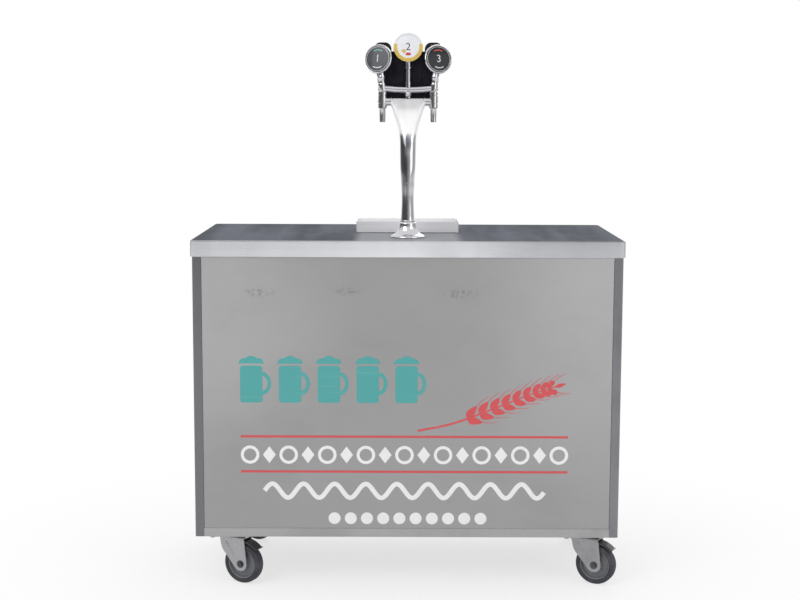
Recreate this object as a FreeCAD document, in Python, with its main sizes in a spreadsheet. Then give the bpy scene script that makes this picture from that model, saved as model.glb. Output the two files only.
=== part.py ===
"""Mobile draught bar: a wheeled steel counter with an ice-cooled plate inside and a three-tap tower on top.

Millimetres. X runs to the right as the customer sees the bar, Y from the customer to the bartender, Z up.
The origin lies on the floor, in the middle of the counter's outline.
"""
import FreeCAD, Part
import math
import os
import re
import Sketcher

SIZES = {
    # Counter
    "counter_width": 1200, "counter_depth": 600, "counter_height": 980, "counter_edge": 45,
    "counter_sheet": 1.5, "counter_corner": 14, "core_board": 25, "core_clearance": 0.3,
    # Body frame and panels
    "side_overhang": 5, "front_overhang": 5, "rear_overhang": 38, "body_clearance": 143,
    "frame_tube": 25, "tube_wall": 1.5, "post_round": 5, "panel_sheet": 1.2, "panel_gap": 1,
    "floor_sheet": 1.5, "floor_lip": 12,
    # Doors
    "door_depth": 20, "door_gap": 2, "door_top_gap": 3.5, "hinge_radius": 4, "hinge_leaf": 1.5,
    "hinge_leaf_width": 18, "hinge_low_gap": 110, "hinge_top_gap": 85,
    "handle_grip": 120, "handle_reach": 28, "handle_bar": 8, "handle_inset": 45, "handle_drop": 77,
    "catch_width": 30, "catch_depth": 16,
    # Castors
    "castor_inset": 94, "castor_front_inset": 55, "castor_rear_inset": 62, "trail_angle": -26,
    "castor_offset": 43, "bearer_width": 110, "bearer_wall": 3,
    "plate_length": 120, "plate_width": 90, "plate_thickness": 4, "race_radius": 26, "race_height": 5.5,
    "crown_thickness": 4, "leg_thickness": 3, "leg_clearance": 2,
    "wheel_diameter": 115, "wheel_width": 32, "axle_radius": 5, "axle_clearance": 0.08,
    "axle_nut": 8, "axle_nut_height": 5, "leg_rear": 24, "leg_front": 56, "eye_radius": 21,
    "pedal_gap": 4.5, "pedal_thickness": 6.5, "pedal_clearance": 0.6, "pedal_pin_radius": 2.2,
    "pedal_start": 102, "pedal_step": 19, "pedal_steps": 3, "pedal_pad": 6, "pedal_pin_turn": 93,
    # Tower
    "tower_setback": 125, "foot_radius": 49, "foot_rim": 8, "foot_height": 45, "foot_neck": 24.5,
    "foot_shoulder": 46, "foot_land": 3, "turned_sides": 16,
    "shank_radius": 18, "shank_clearance": 0.5, "nut_radius": 30, "nut_height": 12,
    "neck_radius": 19, "waist_radius": 17, "waist_height": 110, "belly_height": 200,
    "belly_half_width": 21.5, "belly_half_depth": 19, "belly_lean": 3, "shoulder_height": 282,
    "shoulder_half_width": 23.5, "shoulder_half_depth": 20, "shoulder_lean": 16, "shoulder_tilt": 20,
    "hood_height": 336, "hood_half_width": 36, "hood_half_depth": 19, "hood_lean": 48, "hood_tilt": 48,
    "brow_height": 376, "brow_half_width": 51, "brow_half_depth": 13, "brow_lean": 104, "brow_tilt": 62,
    "column_sides": 16,
    "manifold_height": 380, "manifold_lean": 112, "manifold_radius": 12, "tap_pitch": 73,
    "barrel_radius": 13, "barrel_top": 409, "barrel_shoulder": 362, "nozzle_radius": 9,
    "barrel_bottom": 322,
    # Taps
    "tap_shank_radius": 8, "collar_radius": 15, "collar_length": 10, "tap_start": 146, "tap_radius": 13,
    "tap_length": 56, "tap_pivot_setback": 24, "pivot_rise": 24, "ear_radius": 6, "ear_thickness": 3,
    "ear_gap": 8, "pin_radius": 2.5, "pin_clearance": 0.05, "ear_clearance": 0.2, "spout_setback": 44,
    "spout_radius": 7, "spout_bottom": 326, "spout_tilt": 8, "stem_radius": 4,
    "stem_length": 24, "grip_height": 122, "grip_foot": 26, "grip_head": 50, "grip_thickness": 15,
    "grip_round": 12,
    # Medallions
    "bar_height": 419, "bar_radius": 9.5, "bar_half": 80, "side_stem_radius": 11.5,
    "side_stem_top": 480, "centre_stem_radius": 8, "disc_sides": 40,
    "medallion_radius": 42, "medallion_depth": 16, "disc_radius": 37.5, "disc_thickness": 2,
    "centre_medallion_height": 533, "side_medallion_drop": 33, "side_medallion_offset": 84,
    "medallion_tilt": 10, "medallion_yaw": 22,
    "backplate_sheet": 2, "backplate_half_width": 72, "backplate_shoulder": 28, "backplate_top": 18,
    "backplate_corner": 14,
    # Drip tray
    "tray_width": 300, "tray_depth": 130, "tray_height": 32, "tray_sheet": 1.2, "tray_setback": 167,
    "tray_round": 8, "grille_sheet": 1.5, "grille_drop": 12, "grille_clearance": 1, "grille_slot": 3.6,
    "grille_slot_margin": 22, "grille_end_margin": 14, "grille_slots": 16,
    # Cooling
    "tub_tower_reach": 40, "tub_height": 330, "tub_wall": 22, "tub_side_gap": 35,
    "tub_front_gap": 60, "tub_door_gap": 77, "liner_sheet": 1, "liner_clearance": 0.2, "liner_flange": 18,
    "lid_thickness": 20, "lid_grip": 120, "lid_grip_depth": 12, "lid_hinge_radius": 4,
    "lid_hinge_inset": 40, "lid_leaf": 1.5, "lid_leaf_height": 30, "lid_leaf_gap": 0.3,
    "deck_width": 160, "deck_gap": 2, "plate_end_gap": 77, "plate_side_gap": 47, "plate_z": 38,
    "line_pitch": 60, "line_radius": 5,
    "line_clearance": 0.5, "fitting_nut": 11, "fitting_nut_length": 12, "barb_length": 25,
    "barb_radius": 4.5, "gland_radius": 28, "gland_height": 14, "hose_radius": 22,
    "valve_radius": 12, "valve_length": 40, "spigot_radius": 8, "spigot_length": 20,
    "valve_stem_radius": 4, "valve_stem_length": 6, "valve_lever": 50, "valve_lever_width": 12,
    "valve_lever_thickness": 3, "valve_clearance": 0.05,
    # One overrun for every cut
    "overrun": 5,
}

doc = FreeCAD.newDocument("DraughtBar")
sheet = doc.addObject("Spreadsheet::Sheet", "Sizes")
for row, (alias, amount) in enumerate(SIZES.items(), 1):
    sheet.set(f"A{row}", alias)
    sheet.set(f"B{row}", str(amount))
    sheet.setAlias(f"B{row}", alias)
doc.recompute()

WORD = re.compile(r"[a-z][a-z_]+")

# Places that several pieces share, as expressions of the sheet's sizes
BODY_SIDE = "(counter_width / 2 - side_overhang)"
BODY_FRONT = "(-counter_depth / 2 + front_overhang)"
BODY_REAR = "(counter_depth / 2 - rear_overhang)"
CORE_BOTTOM = "(counter_height - counter_sheet - core_board)"
RAIL_TOP = "(body_clearance + frame_tube)"
POST_INSIDE = "(counter_width / 2 - side_overhang - frame_tube)"
FLOOR_TOP = "(body_clearance + frame_tube + floor_sheet)"
DOOR_TOP = "(counter_height - counter_sheet - core_board - frame_tube - door_top_gap)"
HINGE_LENGTH = f"({DOOR_TOP} - {RAIL_TOP} - door_gap - hinge_low_gap - hinge_top_gap)"
TOWER_Y = "(-counter_depth / 2 + tower_setback)"
HEAD_Y = "(-counter_depth / 2 + tower_setback + manifold_lean)"
TAP_Y = "(-counter_depth / 2 + tower_setback + tap_start)"
TAP_Z = "(counter_height + manifold_height)"
PIVOT_Y = "(-counter_depth / 2 + tower_setback + tap_start + tap_pivot_setback)"
PIVOT_Z = "(counter_height + manifold_height + pivot_rise)"
TRAY_Y = "(-counter_depth / 2 + tower_setback + tray_setback)"
TUB_LEFT = "(-counter_width / 2 + side_overhang + tub_side_gap)"
TUB_WIDTH = "(tub_tower_reach + counter_width / 2 - side_overhang - tub_side_gap)"
TUB_MIDDLE = "((tub_tower_reach - counter_width / 2 + side_overhang + tub_side_gap) / 2)"
TUB_FRONT = "(-counter_depth / 2 + front_overhang + tub_front_gap)"
TUB_REAR = "(counter_depth / 2 - rear_overhang - door_depth - tub_door_gap)"
TUB_DEPTH = "(counter_depth - front_overhang - tub_front_gap - rear_overhang - door_depth - tub_door_gap)"
TUB_TOP = "(body_clearance + frame_tube + floor_sheet + tub_height)"
PLATE_BOTTOM = "(body_clearance + frame_tube + floor_sheet + tub_wall + liner_sheet)"
LINE_Z = "(body_clearance + frame_tube + floor_sheet + tub_wall + liner_sheet + plate_z / 2)"
VALVE_Z = "(body_clearance + frame_tube + floor_sheet + tub_wall + liner_sheet + valve_radius)"
FORK_GAP = "(wheel_width / 2 + leg_clearance)"

SIDES = {"left": -1, "right": 1}
TAPS = {"left": -1, "centre": 0, "right": 1}
nodes = {}


def size(alias):
    """One driving size, as the sheet holds it."""
    return float(sheet.get(alias))


def bound(text):
    """The expression text with every alias pointed at the sheet."""
    return WORD.sub(lambda found: "Sizes." + found.group(0) if found.group(0) in SIZES else found.group(0), text)


def drive(target, **texts):
    """Bind each named property to an expression."""
    for name, text in texts.items():
        target.setExpression(name, bound(text))
    return target


def place(target, x="0", y="0", z="0", axis=None, angle=0):
    """Set the placement: a turn about an axis, and a base bound to the sheet."""
    turn = FreeCAD.Rotation(FreeCAD.Vector(*axis), angle) if axis else FreeCAD.Rotation()
    target.Placement = FreeCAD.Placement(FreeCAD.Vector(), turn)
    for letter, text in zip("xyz", (x, y, z)):
        target.setExpression(f"Placement.Base.{letter}", bound(text))
    return target


def turn_of(*turns):
    """One rotation from (axis, angle) pairs, the first pair turned first."""
    total = FreeCAD.Rotation()
    for axis, angle in turns:
        total = FreeCAD.Rotation(FreeCAD.Vector(*axis), angle) * total
    return total


def box(name, corner, extent):
    made = doc.addObject("Part::Box", name)
    drive(made, Length=extent[0], Width=extent[1], Height=extent[2])
    return place(made, *corner)


def rod(name, base, radius, height, axis=None, angle=90):
    """A round bar from its base point, upright unless an axis turns it."""
    made = doc.addObject("Part::Cylinder", name)
    drive(made, Radius=radius, Height=height)
    return place(made, *base, axis=axis, angle=angle)


def prism(name, base, radius, height, axis=None, angle=90, sides="6"):
    """A hexagonal nut or bolt head, or a turned piece with as many sides as named."""
    made = doc.addObject("Part::Prism", name)
    drive(made, Polygon=sides, Circumradius=radius, Height=height)
    return place(made, *base, axis=axis, angle=angle)


def cut(name, base, *tools):
    made = doc.addObject("Part::Cut", name)
    made.Base = base
    made.Tool = tools[0] if len(tools) == 1 else group(name + "_tools", *tools)
    return made


def fuse(name, *shapes):
    made = doc.addObject("Part::MultiFuse", name)
    made.Shapes = list(shapes)
    return made


def group(name, *shapes):
    made = doc.addObject("Part::Compound", name)
    made.Links = list(shapes)
    return made


def node(label, made):
    """Register a finished sub-part under its own label."""
    made.Label = label
    nodes[label] = made
    return made


def new_body(name):
    made = doc.addObject("PartDesign::Body", name)
    doc.recompute()
    return made


def origin_plane(body, role):
    return next(plane for plane in body.Origin.OriginFeatures if plane.Role == role)


def outline(body, name, role, corners):
    """A closed outline of straight lines whose corners are all bound to the sheet."""
    sketch = body.newObject("Sketcher::SketchObject", name)
    sketch.AttachmentSupport = [(origin_plane(body, role), "")]
    sketch.MapMode = "FlatFace"
    count = len(corners)
    steps = [2 * math.pi * index / count for index in range(count)]
    ring = [FreeCAD.Vector(math.cos(step), math.sin(step), 0) for step in steps]
    for index in range(count):
        sketch.addGeometry(Part.LineSegment(ring[index], ring[(index + 1) % count]), False)
    for index in range(count):
        sketch.addConstraint(Sketcher.Constraint("Coincident", index, 2, (index + 1) % count, 1))
    for index, (across, up) in enumerate(corners):
        for kind, start, text in (("DistanceX", ring[index].x, across), ("DistanceY", ring[index].y, up)):
            number = sketch.addConstraint(Sketcher.Constraint(kind, -1, 1, index, 1, start))
            sketch.setExpression(f"Constraints[{number}]", bound(text))
    return sketch


def rectangle(left, low, right, high):
    return [(left, low), (right, low), (right, high), (left, high)]


def pad(body, sketch, length, middle=False, back=False):
    made = body.newObject("PartDesign::Pad", sketch.Name + "_pad")
    made.Profile = sketch
    made.Midplane = middle
    made.Reversed = back
    sketch.Visibility = False
    return drive(made, Length=length)


def pocket(body, sketch, length, middle=False, back=False):
    made = body.newObject("PartDesign::Pocket", sketch.Name + "_pocket")
    made.Profile = sketch
    made.Midplane = middle
    made.Reversed = back
    return drive(made, Length=length)


def revolve(body, sketch, axis="V_Axis"):
    made = body.newObject("PartDesign::Revolution", sketch.Name + "_turned")
    made.Profile = sketch
    made.ReferenceAxis = (sketch, [axis])
    made.Angle = 360
    return made


def round_edges(body, base, radius, chosen):
    """Fillet the edges of the base feature that the test picks."""
    doc.recompute()
    names = [f"Edge{index}" for index, edge in enumerate(base.Shape.Edges, 1) if chosen(edge)]
    made = body.newObject("PartDesign::Fillet", base.Name + "_round")
    made.Base = (base, names)
    return drive(made, Radius=radius)


def upright(edge):
    """True for a straight edge along Z."""
    return abs(edge.tangentAt(edge.FirstParameter).z) > 0.99 and len(edge.Vertexes) == 2


def rounded_block(name, low, sides, radius):
    """A block between driven sides, its upright corners rounded."""
    body = new_body(name)
    plan = outline(body, f"{name}_plan", "XY_Plane", rectangle("0", "0", f"({sides[0]})", f"({sides[1]})"))
    body.Tip = round_edges(body, pad(body, plan, sides[2]), radius, upright)
    return place(body, *low)


def frame_posts():
    """Four square tubes with a rounded outer corner, welded at the corners of the body."""
    posts = []
    for side, way in SIDES.items():
        for end, front in (("front", True), ("rear", False)):
            body = new_body(f"post_{end}_{side}")
            low = "0" if front else "-frame_tube"
            high = "frame_tube" if front else "0"
            inner_low = low + " + tube_wall"
            inner_high = high + " - tube_wall"
            inside = "-frame_tube" if way > 0 else "frame_tube"
            near = "-tube_wall" if way > 0 else "tube_wall"
            far = inside + (" + tube_wall" if way > 0 else " - tube_wall")
            square = outline(body, f"tube_{end}_{side}", "XY_Plane", rectangle("0", low, inside, high))
            tube = pad(body, square, CORE_BOTTOM + " - body_clearance")
            corner = round_edges(body, tube, "post_round", lambda edge: upright(edge)
                                 and abs(edge.Vertexes[0].X) < size("tube_wall")
                                 and abs(edge.Vertexes[0].Y) < size("tube_wall"))
            bore = outline(body, f"bore_{end}_{side}", "XY_Plane", rectangle(near, inner_low, far, inner_high))
            hollow = pocket(body, bore, "counter_height", back=True)
            body.Tip = hollow
            corner.Visibility = False
            posts.append(place(body, f"{way} * {BODY_SIDE}", BODY_FRONT if front else BODY_REAR, "body_clearance"))
    return node("frame_posts", group("frame_posts_group", *posts))


def square_tube(name, corner, extent, long_way):
    """A square tube, open at both ends, from its outer box and the index of its long side."""
    walls = ["0" if index == long_way else "tube_wall" for index in range(3)]
    bore_corner = [f"{start} + {wall}" for start, wall in zip(corner, walls)]
    bore_extent = [f"{length} - 2 * {wall}" for length, wall in zip(extent, walls)]
    return cut(name, box(name + "_outside", corner, extent), box(name + "_bore", bore_corner, bore_extent))


def frame_rails():
    """The bottom and top rails between the posts, the top ones set back behind the front and side sheets."""
    depth = f"{BODY_REAR} - ({BODY_FRONT}) - 2 * frame_tube"
    rails = []
    for level, height, setback in (("bottom", "body_clearance", "0"), ("top", f"{CORE_BOTTOM} - frame_tube", "panel_sheet")):
        rails.append(square_tube(f"rail_front_{level}", (f"-{POST_INSIDE}", f"{BODY_FRONT} + {setback}", height),
                                 (f"2 * {POST_INSIDE}", f"frame_tube - {setback}", "frame_tube"), 0))
        rails.append(square_tube(f"rail_rear_{level}", (f"-{POST_INSIDE}", f"{BODY_REAR} - frame_tube", height),
                                 (f"2 * {POST_INSIDE}", "frame_tube", "frame_tube"), 0))
        for side, way in SIDES.items():
            inner = POST_INSIDE if way > 0 else f"-{BODY_SIDE} + {setback}"
            rails.append(square_tube(f"rail_{side}_{level}", (inner, f"{BODY_FRONT} + frame_tube", height),
                                     (f"frame_tube - {setback}", depth, "frame_tube"), 1))
    return node("frame_rails", group("frame_rails_group", *rails))


def floor_pan():
    """The cabinet floor, lying on the rails, with a raised lip at each side."""
    body = new_body("floor_body")
    half = f"({POST_INSIDE} - panel_gap)"
    profile = outline(body, "floor_profile", "XZ_Plane", [
        (f"-{half}", "0"), (half, "0"), (half, "floor_lip"), (f"{half} - floor_sheet", "floor_lip"),
        (f"{half} - floor_sheet", "floor_sheet"), (f"-{half} + floor_sheet", "floor_sheet"),
        (f"-{half} + floor_sheet", "floor_lip"), (f"-{half}", "floor_lip")])
    depth = f"{BODY_REAR} - door_depth - panel_gap - ({BODY_FRONT}) - panel_sheet"
    pad(body, profile, depth, back=True)
    place(body, "0", f"{BODY_FRONT} + panel_sheet", RAIL_TOP)
    return node("floor_pan", body)


def front_panel():
    """The customer's side: one folded sheet between the posts, over the top rail."""
    bottom = f"({RAIL_TOP} + panel_gap)"
    width = f"2 * ({POST_INSIDE} - panel_gap)"
    body = new_body("front_panel_body")
    half = f"({width}) / 2"
    top = f"({CORE_BOTTOM} - {bottom})"
    face = outline(body, "front_panel_face", "XZ_Plane", rectangle(f"-{half}", "0", half, top))
    pad(body, face, "panel_sheet", back=True)
    place(body, "0", BODY_FRONT, bottom)
    return node("front_panel", body)


def side_panels():
    """The two side sheets between the posts, over the top side rails."""
    bottom = f"({RAIL_TOP} + panel_gap)"
    depth = f"{BODY_REAR} - ({BODY_FRONT}) - 2 * frame_tube - 2 * panel_gap"
    made = []
    for side, way in SIDES.items():
        body = new_body(f"side_panel_{side}")
        face = outline(body, f"side_panel_face_{side}", "YZ_Plane", rectangle(
            "0", "0", f"({depth})", f"({CORE_BOTTOM} - {bottom})"))
        pad(body, face, "panel_sheet", back=way > 0)
        made.append(place(body, f"{way} * {BODY_SIDE}", f"{BODY_FRONT} + frame_tube + panel_gap", bottom))
    return node("side_panels", group("side_panels_group", *made))


def counter_top():
    """The folded stainless top with its turned-down edge and the core board in it, bored for the tower shank."""
    shank = (("0", TOWER_Y, "counter_height - counter_edge - overrun"), "shank_radius + shank_clearance")
    skin = rounded_block("skin_block", ("-counter_width / 2", "-counter_depth / 2", "counter_height - counter_edge"), (
        "counter_width", "counter_depth", "counter_edge"), "counter_corner")
    hollow = rounded_block("skin_inside", (
        "-counter_width / 2 + counter_sheet", "-counter_depth / 2 + counter_sheet",
        "counter_height - counter_edge - overrun"), (
        "counter_width - 2 * counter_sheet", "counter_depth - 2 * counter_sheet",
        "counter_edge + overrun - counter_sheet"), "counter_corner - counter_sheet")
    node("counter_skin", cut("skin_bored", skin, hollow, rod("skin_hole", *shank, "counter_edge + 2 * overrun")))
    board = rounded_block("core_block", (
        "-counter_width / 2 + counter_sheet + core_clearance",
        "-counter_depth / 2 + counter_sheet + core_clearance", CORE_BOTTOM), (
        "counter_width - 2 * counter_sheet - 2 * core_clearance",
        "counter_depth - 2 * counter_sheet - 2 * core_clearance", "core_board"),
        "counter_corner - counter_sheet - core_clearance")
    node("counter_core", cut("core_bored", board, rod("core_hole", *shank, "counter_edge + 2 * overrun")))


def door(side, way):
    """A folded pan between the rear posts, its handle near the middle and its hinge leaf at the post."""
    width = f"({POST_INSIDE} - 3 * door_gap / 2)"
    low = f"({RAIL_TOP} + door_gap)"
    left = "(door_gap / 2)" if way > 0 else f"(-door_gap / 2 - {width})"
    outside = box(f"door_outside_{side}", (left, f"{BODY_REAR} - door_depth", low), (
        width, "door_depth", f"{DOOR_TOP} - {low}"))
    inside = box(f"door_inside_{side}", (
        f"{left} + panel_sheet", f"{BODY_REAR} - door_depth - panel_sheet", f"{low} + panel_sheet"), (
        f"{width} - 2 * panel_sheet", "door_depth", f"{DOOR_TOP} - {low} - 2 * panel_sheet"))
    node(f"door_{side}", cut(f"door_pan_{side}", outside, inside))

    handle_x = f"{way} * (door_gap / 2 + handle_inset)"
    grip = new_body(f"handle_body_{side}")
    bow = outline(grip, f"handle_bow_{side}", "YZ_Plane", [
        ("0", "0"), ("handle_reach - handle_bar", "handle_bar"), ("handle_reach", "2 * handle_bar"),
        ("handle_reach", "handle_grip - 2 * handle_bar"), ("handle_reach - handle_bar", "handle_grip - handle_bar"),
        ("0", "handle_grip"), ("0", "handle_grip - handle_bar"),
        ("handle_reach - handle_bar", "handle_grip - 2 * handle_bar - handle_bar / 2"),
        ("handle_reach - handle_bar", "2 * handle_bar + handle_bar / 2"), ("0", "handle_bar")])
    pad(grip, bow, "3 * handle_bar / 2", middle=True)
    place(grip, handle_x, BODY_REAR, f"{DOOR_TOP} - handle_drop - handle_grip")
    node(f"door_handle_{side}", grip)

    hinge_low = f"({low} + hinge_low_gap)"
    pin_x = f"{way} * ({POST_INSIDE} - door_gap / 4)"
    leaf_from = f"{POST_INSIDE} - door_gap / 2 - hinge_leaf_width" if way > 0 else f"-{POST_INSIDE} + door_gap / 2"
    leaf = box(f"leaf_plate_{side}", (leaf_from, BODY_REAR, hinge_low), (
        "hinge_leaf_width", "hinge_leaf", HINGE_LENGTH))
    barrel = rod(f"leaf_barrel_{side}", (pin_x, f"{BODY_REAR} + hinge_radius", hinge_low), "hinge_radius",
                 HINGE_LENGTH)
    node(f"hinge_leaf_{side}", fuse(f"leaf_fused_{side}", leaf, barrel))


def hinge_frame_leaves():
    """The hinges' fixed leaves on the rear posts, beside each door's barrel."""
    low = f"({RAIL_TOP} + door_gap + hinge_low_gap)"
    made = []
    for side, way in SIDES.items():
        inner = f"({POST_INSIDE} + hinge_radius)"
        left = inner if way > 0 else f"-{inner} - hinge_leaf_width + hinge_radius"
        made.append(box(f"frame_leaf_{side}", (left, BODY_REAR, low), (
            "hinge_leaf_width - hinge_radius", "hinge_leaf", HINGE_LENGTH)))
    return node("hinge_frame_leaves", group("hinge_frame_group", *made))


def magnet_catches():
    """Two magnet blocks under the top rear rail that hold the doors' inner edges."""
    made = []
    for side, way in SIDES.items():
        left = f"{way} * (handle_inset) - catch_width / 2"
        made.append(box(f"catch_{side}", (left, f"{BODY_REAR} - door_depth - catch_depth", f"{DOOR_TOP} - catch_depth"), (
            "catch_width", "catch_depth", "catch_depth + door_top_gap")))
    return node("magnet_catches", group("magnet_group", *made))


def castor_places():
    """Every castor: its end and side names and its swivel axis."""
    for end in ("front", "rear"):
        for side, way in SIDES.items():
            x = f"{way} * ({BODY_SIDE} - castor_inset)"
            y = f"({BODY_FRONT} + castor_front_inset)" if end == "front" else f"({BODY_REAR} - castor_rear_inset)"
            yield end, side, x, y


def castor_bearers():
    """Two channels between the front and rear bottom rails, over the castor plates."""
    made = []
    reach = f"({BODY_REAR} - ({BODY_FRONT}) - 2 * frame_tube)"
    for side, way in SIDES.items():
        x = f"{way} * ({BODY_SIDE} - castor_inset) - bearer_width / 2"
        outer = box(f"bearer_{side}", (x, f"{BODY_FRONT} + frame_tube", "body_clearance"), (
            "bearer_width", reach, "frame_tube"))
        inner = box(f"bearer_inside_{side}", (
            f"{x} + bearer_wall", f"{BODY_FRONT} + frame_tube - overrun", "body_clearance + bearer_wall"), (
            "bearer_width - 2 * bearer_wall", f"{reach} + 2 * overrun", "frame_tube"))
        made.append(cut(f"bearer_channel_{side}", outer, inner))
    return node("castor_bearers", group("bearer_group", *made))


def castor_plates():
    """The castors' top plates, under the bearers and the bottom rails."""
    plates = [box(f"plate_{end}_{side}", (
        f"{x} - plate_length / 2", f"{y} - plate_width / 2", "body_clearance - plate_thickness"), (
        "plate_length", "plate_width", "plate_thickness")) for end, side, x, y in castor_places()]
    node("castor_plates", group("plates_group", *plates))


def castor_fork(end, side, x, y):
    """The swivelling fork: a race and crown under the plate, two tapering legs, the axle bolt and the pedal pin."""
    tag = f"{end}_{side}"
    crown_top = "(body_clearance - plate_thickness)"
    crown_bottom = "(body_clearance - plate_thickness - race_height - crown_thickness)"
    crown = box(f"crown_{tag}", ("-leg_rear", f"-{FORK_GAP} - leg_thickness", crown_bottom), (
        "leg_rear + leg_front", f"2 * ({FORK_GAP} + leg_thickness)", "crown_thickness"))
    wheel_centre = "wheel_diameter / 2"
    race = prism(f"race_{tag}", ("0", "0", f"{crown_top} - race_height"), "race_radius", "race_height", angle=0,
                 sides="turned_sides")
    pieces = [crown, race]
    for name, way in (("near", -1), ("far", 1)):
        body = new_body(f"leg_{tag}_{name}")
        blade = outline(body, f"blade_{tag}_{name}", "XZ_Plane", [
            ("-leg_rear", crown_bottom),
            ("-leg_rear + leg_thickness", f"{wheel_centre} + 2 * eye_radius"),
            ("castor_offset - eye_radius", f"{wheel_centre} - eye_radius / 3"),
            ("castor_offset - eye_radius / 2", f"{wheel_centre} - eye_radius"),
            ("castor_offset + eye_radius / 2", f"{wheel_centre} - eye_radius"),
            ("castor_offset + eye_radius", f"{wheel_centre} - eye_radius / 3"),
            ("leg_front + leg_thickness", f"{wheel_centre} + eye_radius"),
            ("leg_front", crown_bottom)])
        pad(body, blade, "leg_thickness", back=way > 0)
        pieces.append(place(body, "0", f"{way} * {FORK_GAP}", "0"))
        nut_y = f"-{FORK_GAP} - leg_thickness" if way < 0 else f"{FORK_GAP} + leg_thickness + axle_nut_height"
        pieces.append(prism(f"axle_nut_{tag}_{name}", ("castor_offset", nut_y, wheel_centre), "axle_nut",
                              "axle_nut_height", axis=(1, 0, 0)))
    pieces.append(rod(f"axle_{tag}", ("castor_offset", FORK_GAP, wheel_centre), "axle_radius", f"2 * {FORK_GAP}",
                      axis=(1, 0, 0)))
    if end == "front":
        pin_x, pin_z = pedal_pin_place()
        pieces.append(rod(f"pedal_pin_{tag}", (pin_x, FORK_GAP, pin_z), "pedal_pin_radius", f"2 * {FORK_GAP}",
                          axis=(1, 0, 0)))
    made = group(f"fork_group_{tag}", fuse(f"fork_fused_{tag}", *pieces))
    set_castor(made, x, y)
    node(f"castor_fork_{tag}", made)


def pedal_pin_place():
    """Where the pedal's pin crosses the fork: in the middle of the pedal's thickness, near its start."""
    reach = "(wheel_diameter / 2 + pedal_gap + pedal_thickness / 2)"
    return (f"castor_offset + {reach} * cos(pedal_pin_turn * 1deg)",
            f"wheel_diameter / 2 + {reach} * sin(pedal_pin_turn * 1deg)")


def set_castor(made, x, y):
    """Turn a castor piece to its trailing direction and stand it on its swivel axis."""
    place(made, x, y, "0", axis=(0, 0, 1), angle=size("trail_angle"))


def wheel(end, side, x, y):
    """A wheel with its tyre moulded on, running on the fork's axle."""
    tag = f"{end}_{side}"
    body = new_body(f"wheel_body_{tag}")
    profile = outline(body, f"wheel_profile_{tag}", "XZ_Plane", rectangle(
        "axle_radius + axle_clearance", "-wheel_width / 2", "wheel_diameter / 2", "wheel_width / 2"))
    revolve(body, profile)
    place(body, "castor_offset", "0", "wheel_diameter / 2", axis=(1, 0, 0), angle=90)
    made = group(f"wheel_group_{tag}", body)
    set_castor(made, x, y)
    node(f"wheel_{tag}", made)


def brake_pedal(side, x, y):
    """The bent pedal over the tyre, between the legs of a front fork, with a pad at its end."""
    tag = f"front_{side}"
    inner = "(wheel_diameter / 2 + pedal_gap) / cos(pedal_step / 2 * 1deg)"
    outer = "(wheel_diameter / 2 + pedal_gap + pedal_thickness) / cos(pedal_step / 2 * 1deg)"

    def rim_point(radius, step, out="0"):
        turn = f"((pedal_start - {step} * pedal_step) * 1deg)"
        return (f"castor_offset + {out} + {radius} * cos{turn}", f"wheel_diameter / 2 + {radius} * sin{turn}")

    steps = range(int(size("pedal_steps")) + 1)
    body = new_body(f"pedal_body_{tag}")
    profile = outline(body, f"pedal_profile_{tag}", "XZ_Plane",
                      [rim_point(inner, step) for step in steps]
                      + [rim_point(inner, "pedal_steps", "pedal_pad"), rim_point(outer, "pedal_steps", "pedal_pad")]
                      + [rim_point(outer, step) for step in reversed(steps)])
    pad(body, profile, f"2 * ({FORK_GAP} - pedal_clearance)", middle=True)
    pin_x, pin_z = pedal_pin_place()
    bore = rod(f"pedal_bore_{tag}", (pin_x, FORK_GAP, pin_z), "pedal_pin_radius + axle_clearance", f"2 * {FORK_GAP}",
               axis=(1, 0, 0))
    made = group(f"pedal_group_{tag}", cut(f"pedal_bored_{tag}", body, bore))
    set_castor(made, x, y)
    node(f"brake_pedal_{tag}", made)


def tower_foot():
    """The tower's foot, a rim and a tapering collar, with its threaded shank and the nut under the counter."""
    top = "counter_height"
    rim = prism("foot_rim_disc", ("0", TOWER_Y, top), "foot_radius", "foot_rim", angle=0, sides="disc_sides")
    sides = int(size("turned_sides"))
    turns = [f"(({index} + 1 / 2) * 360deg / turned_sides)" for index in range(sides)]
    body = new_body("foot_collar")
    plan = outline(body, "collar_plan", "XY_Plane", [
        (f"foot_shoulder * cos{turn}", f"foot_shoulder * sin{turn}") for turn in turns])
    block = pad(body, plan, "foot_height - foot_rim")
    doc.recompute()
    height = block.Shape.BoundBox.ZMax
    edges = [f"Edge{number}" for number, edge in enumerate(block.Shape.Edges, 1)
             if edge.BoundBox.ZMin > height / 2]
    slope = body.newObject("PartDesign::Chamfer", "collar_slope")
    slope.Base = (block, edges)
    slope.ChamferType = "Two distances"
    drive(slope, Size="foot_shoulder - foot_neck", Size2="foot_height - foot_rim - foot_land")
    place(body, "0", TOWER_Y, f"{top} + foot_rim")
    shank = rod("foot_shank", ("0", TOWER_Y, CORE_BOTTOM), "shank_radius", f"{top} - {CORE_BOTTOM}")
    node("tower_foot", fuse("foot_fused", rim, body, shank))
    node("tower_nut", prism("nut_block", ("0", TOWER_Y, f"{CORE_BOTTOM} - nut_height"), "nut_radius",
                            "nut_height", angle=0))


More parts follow.
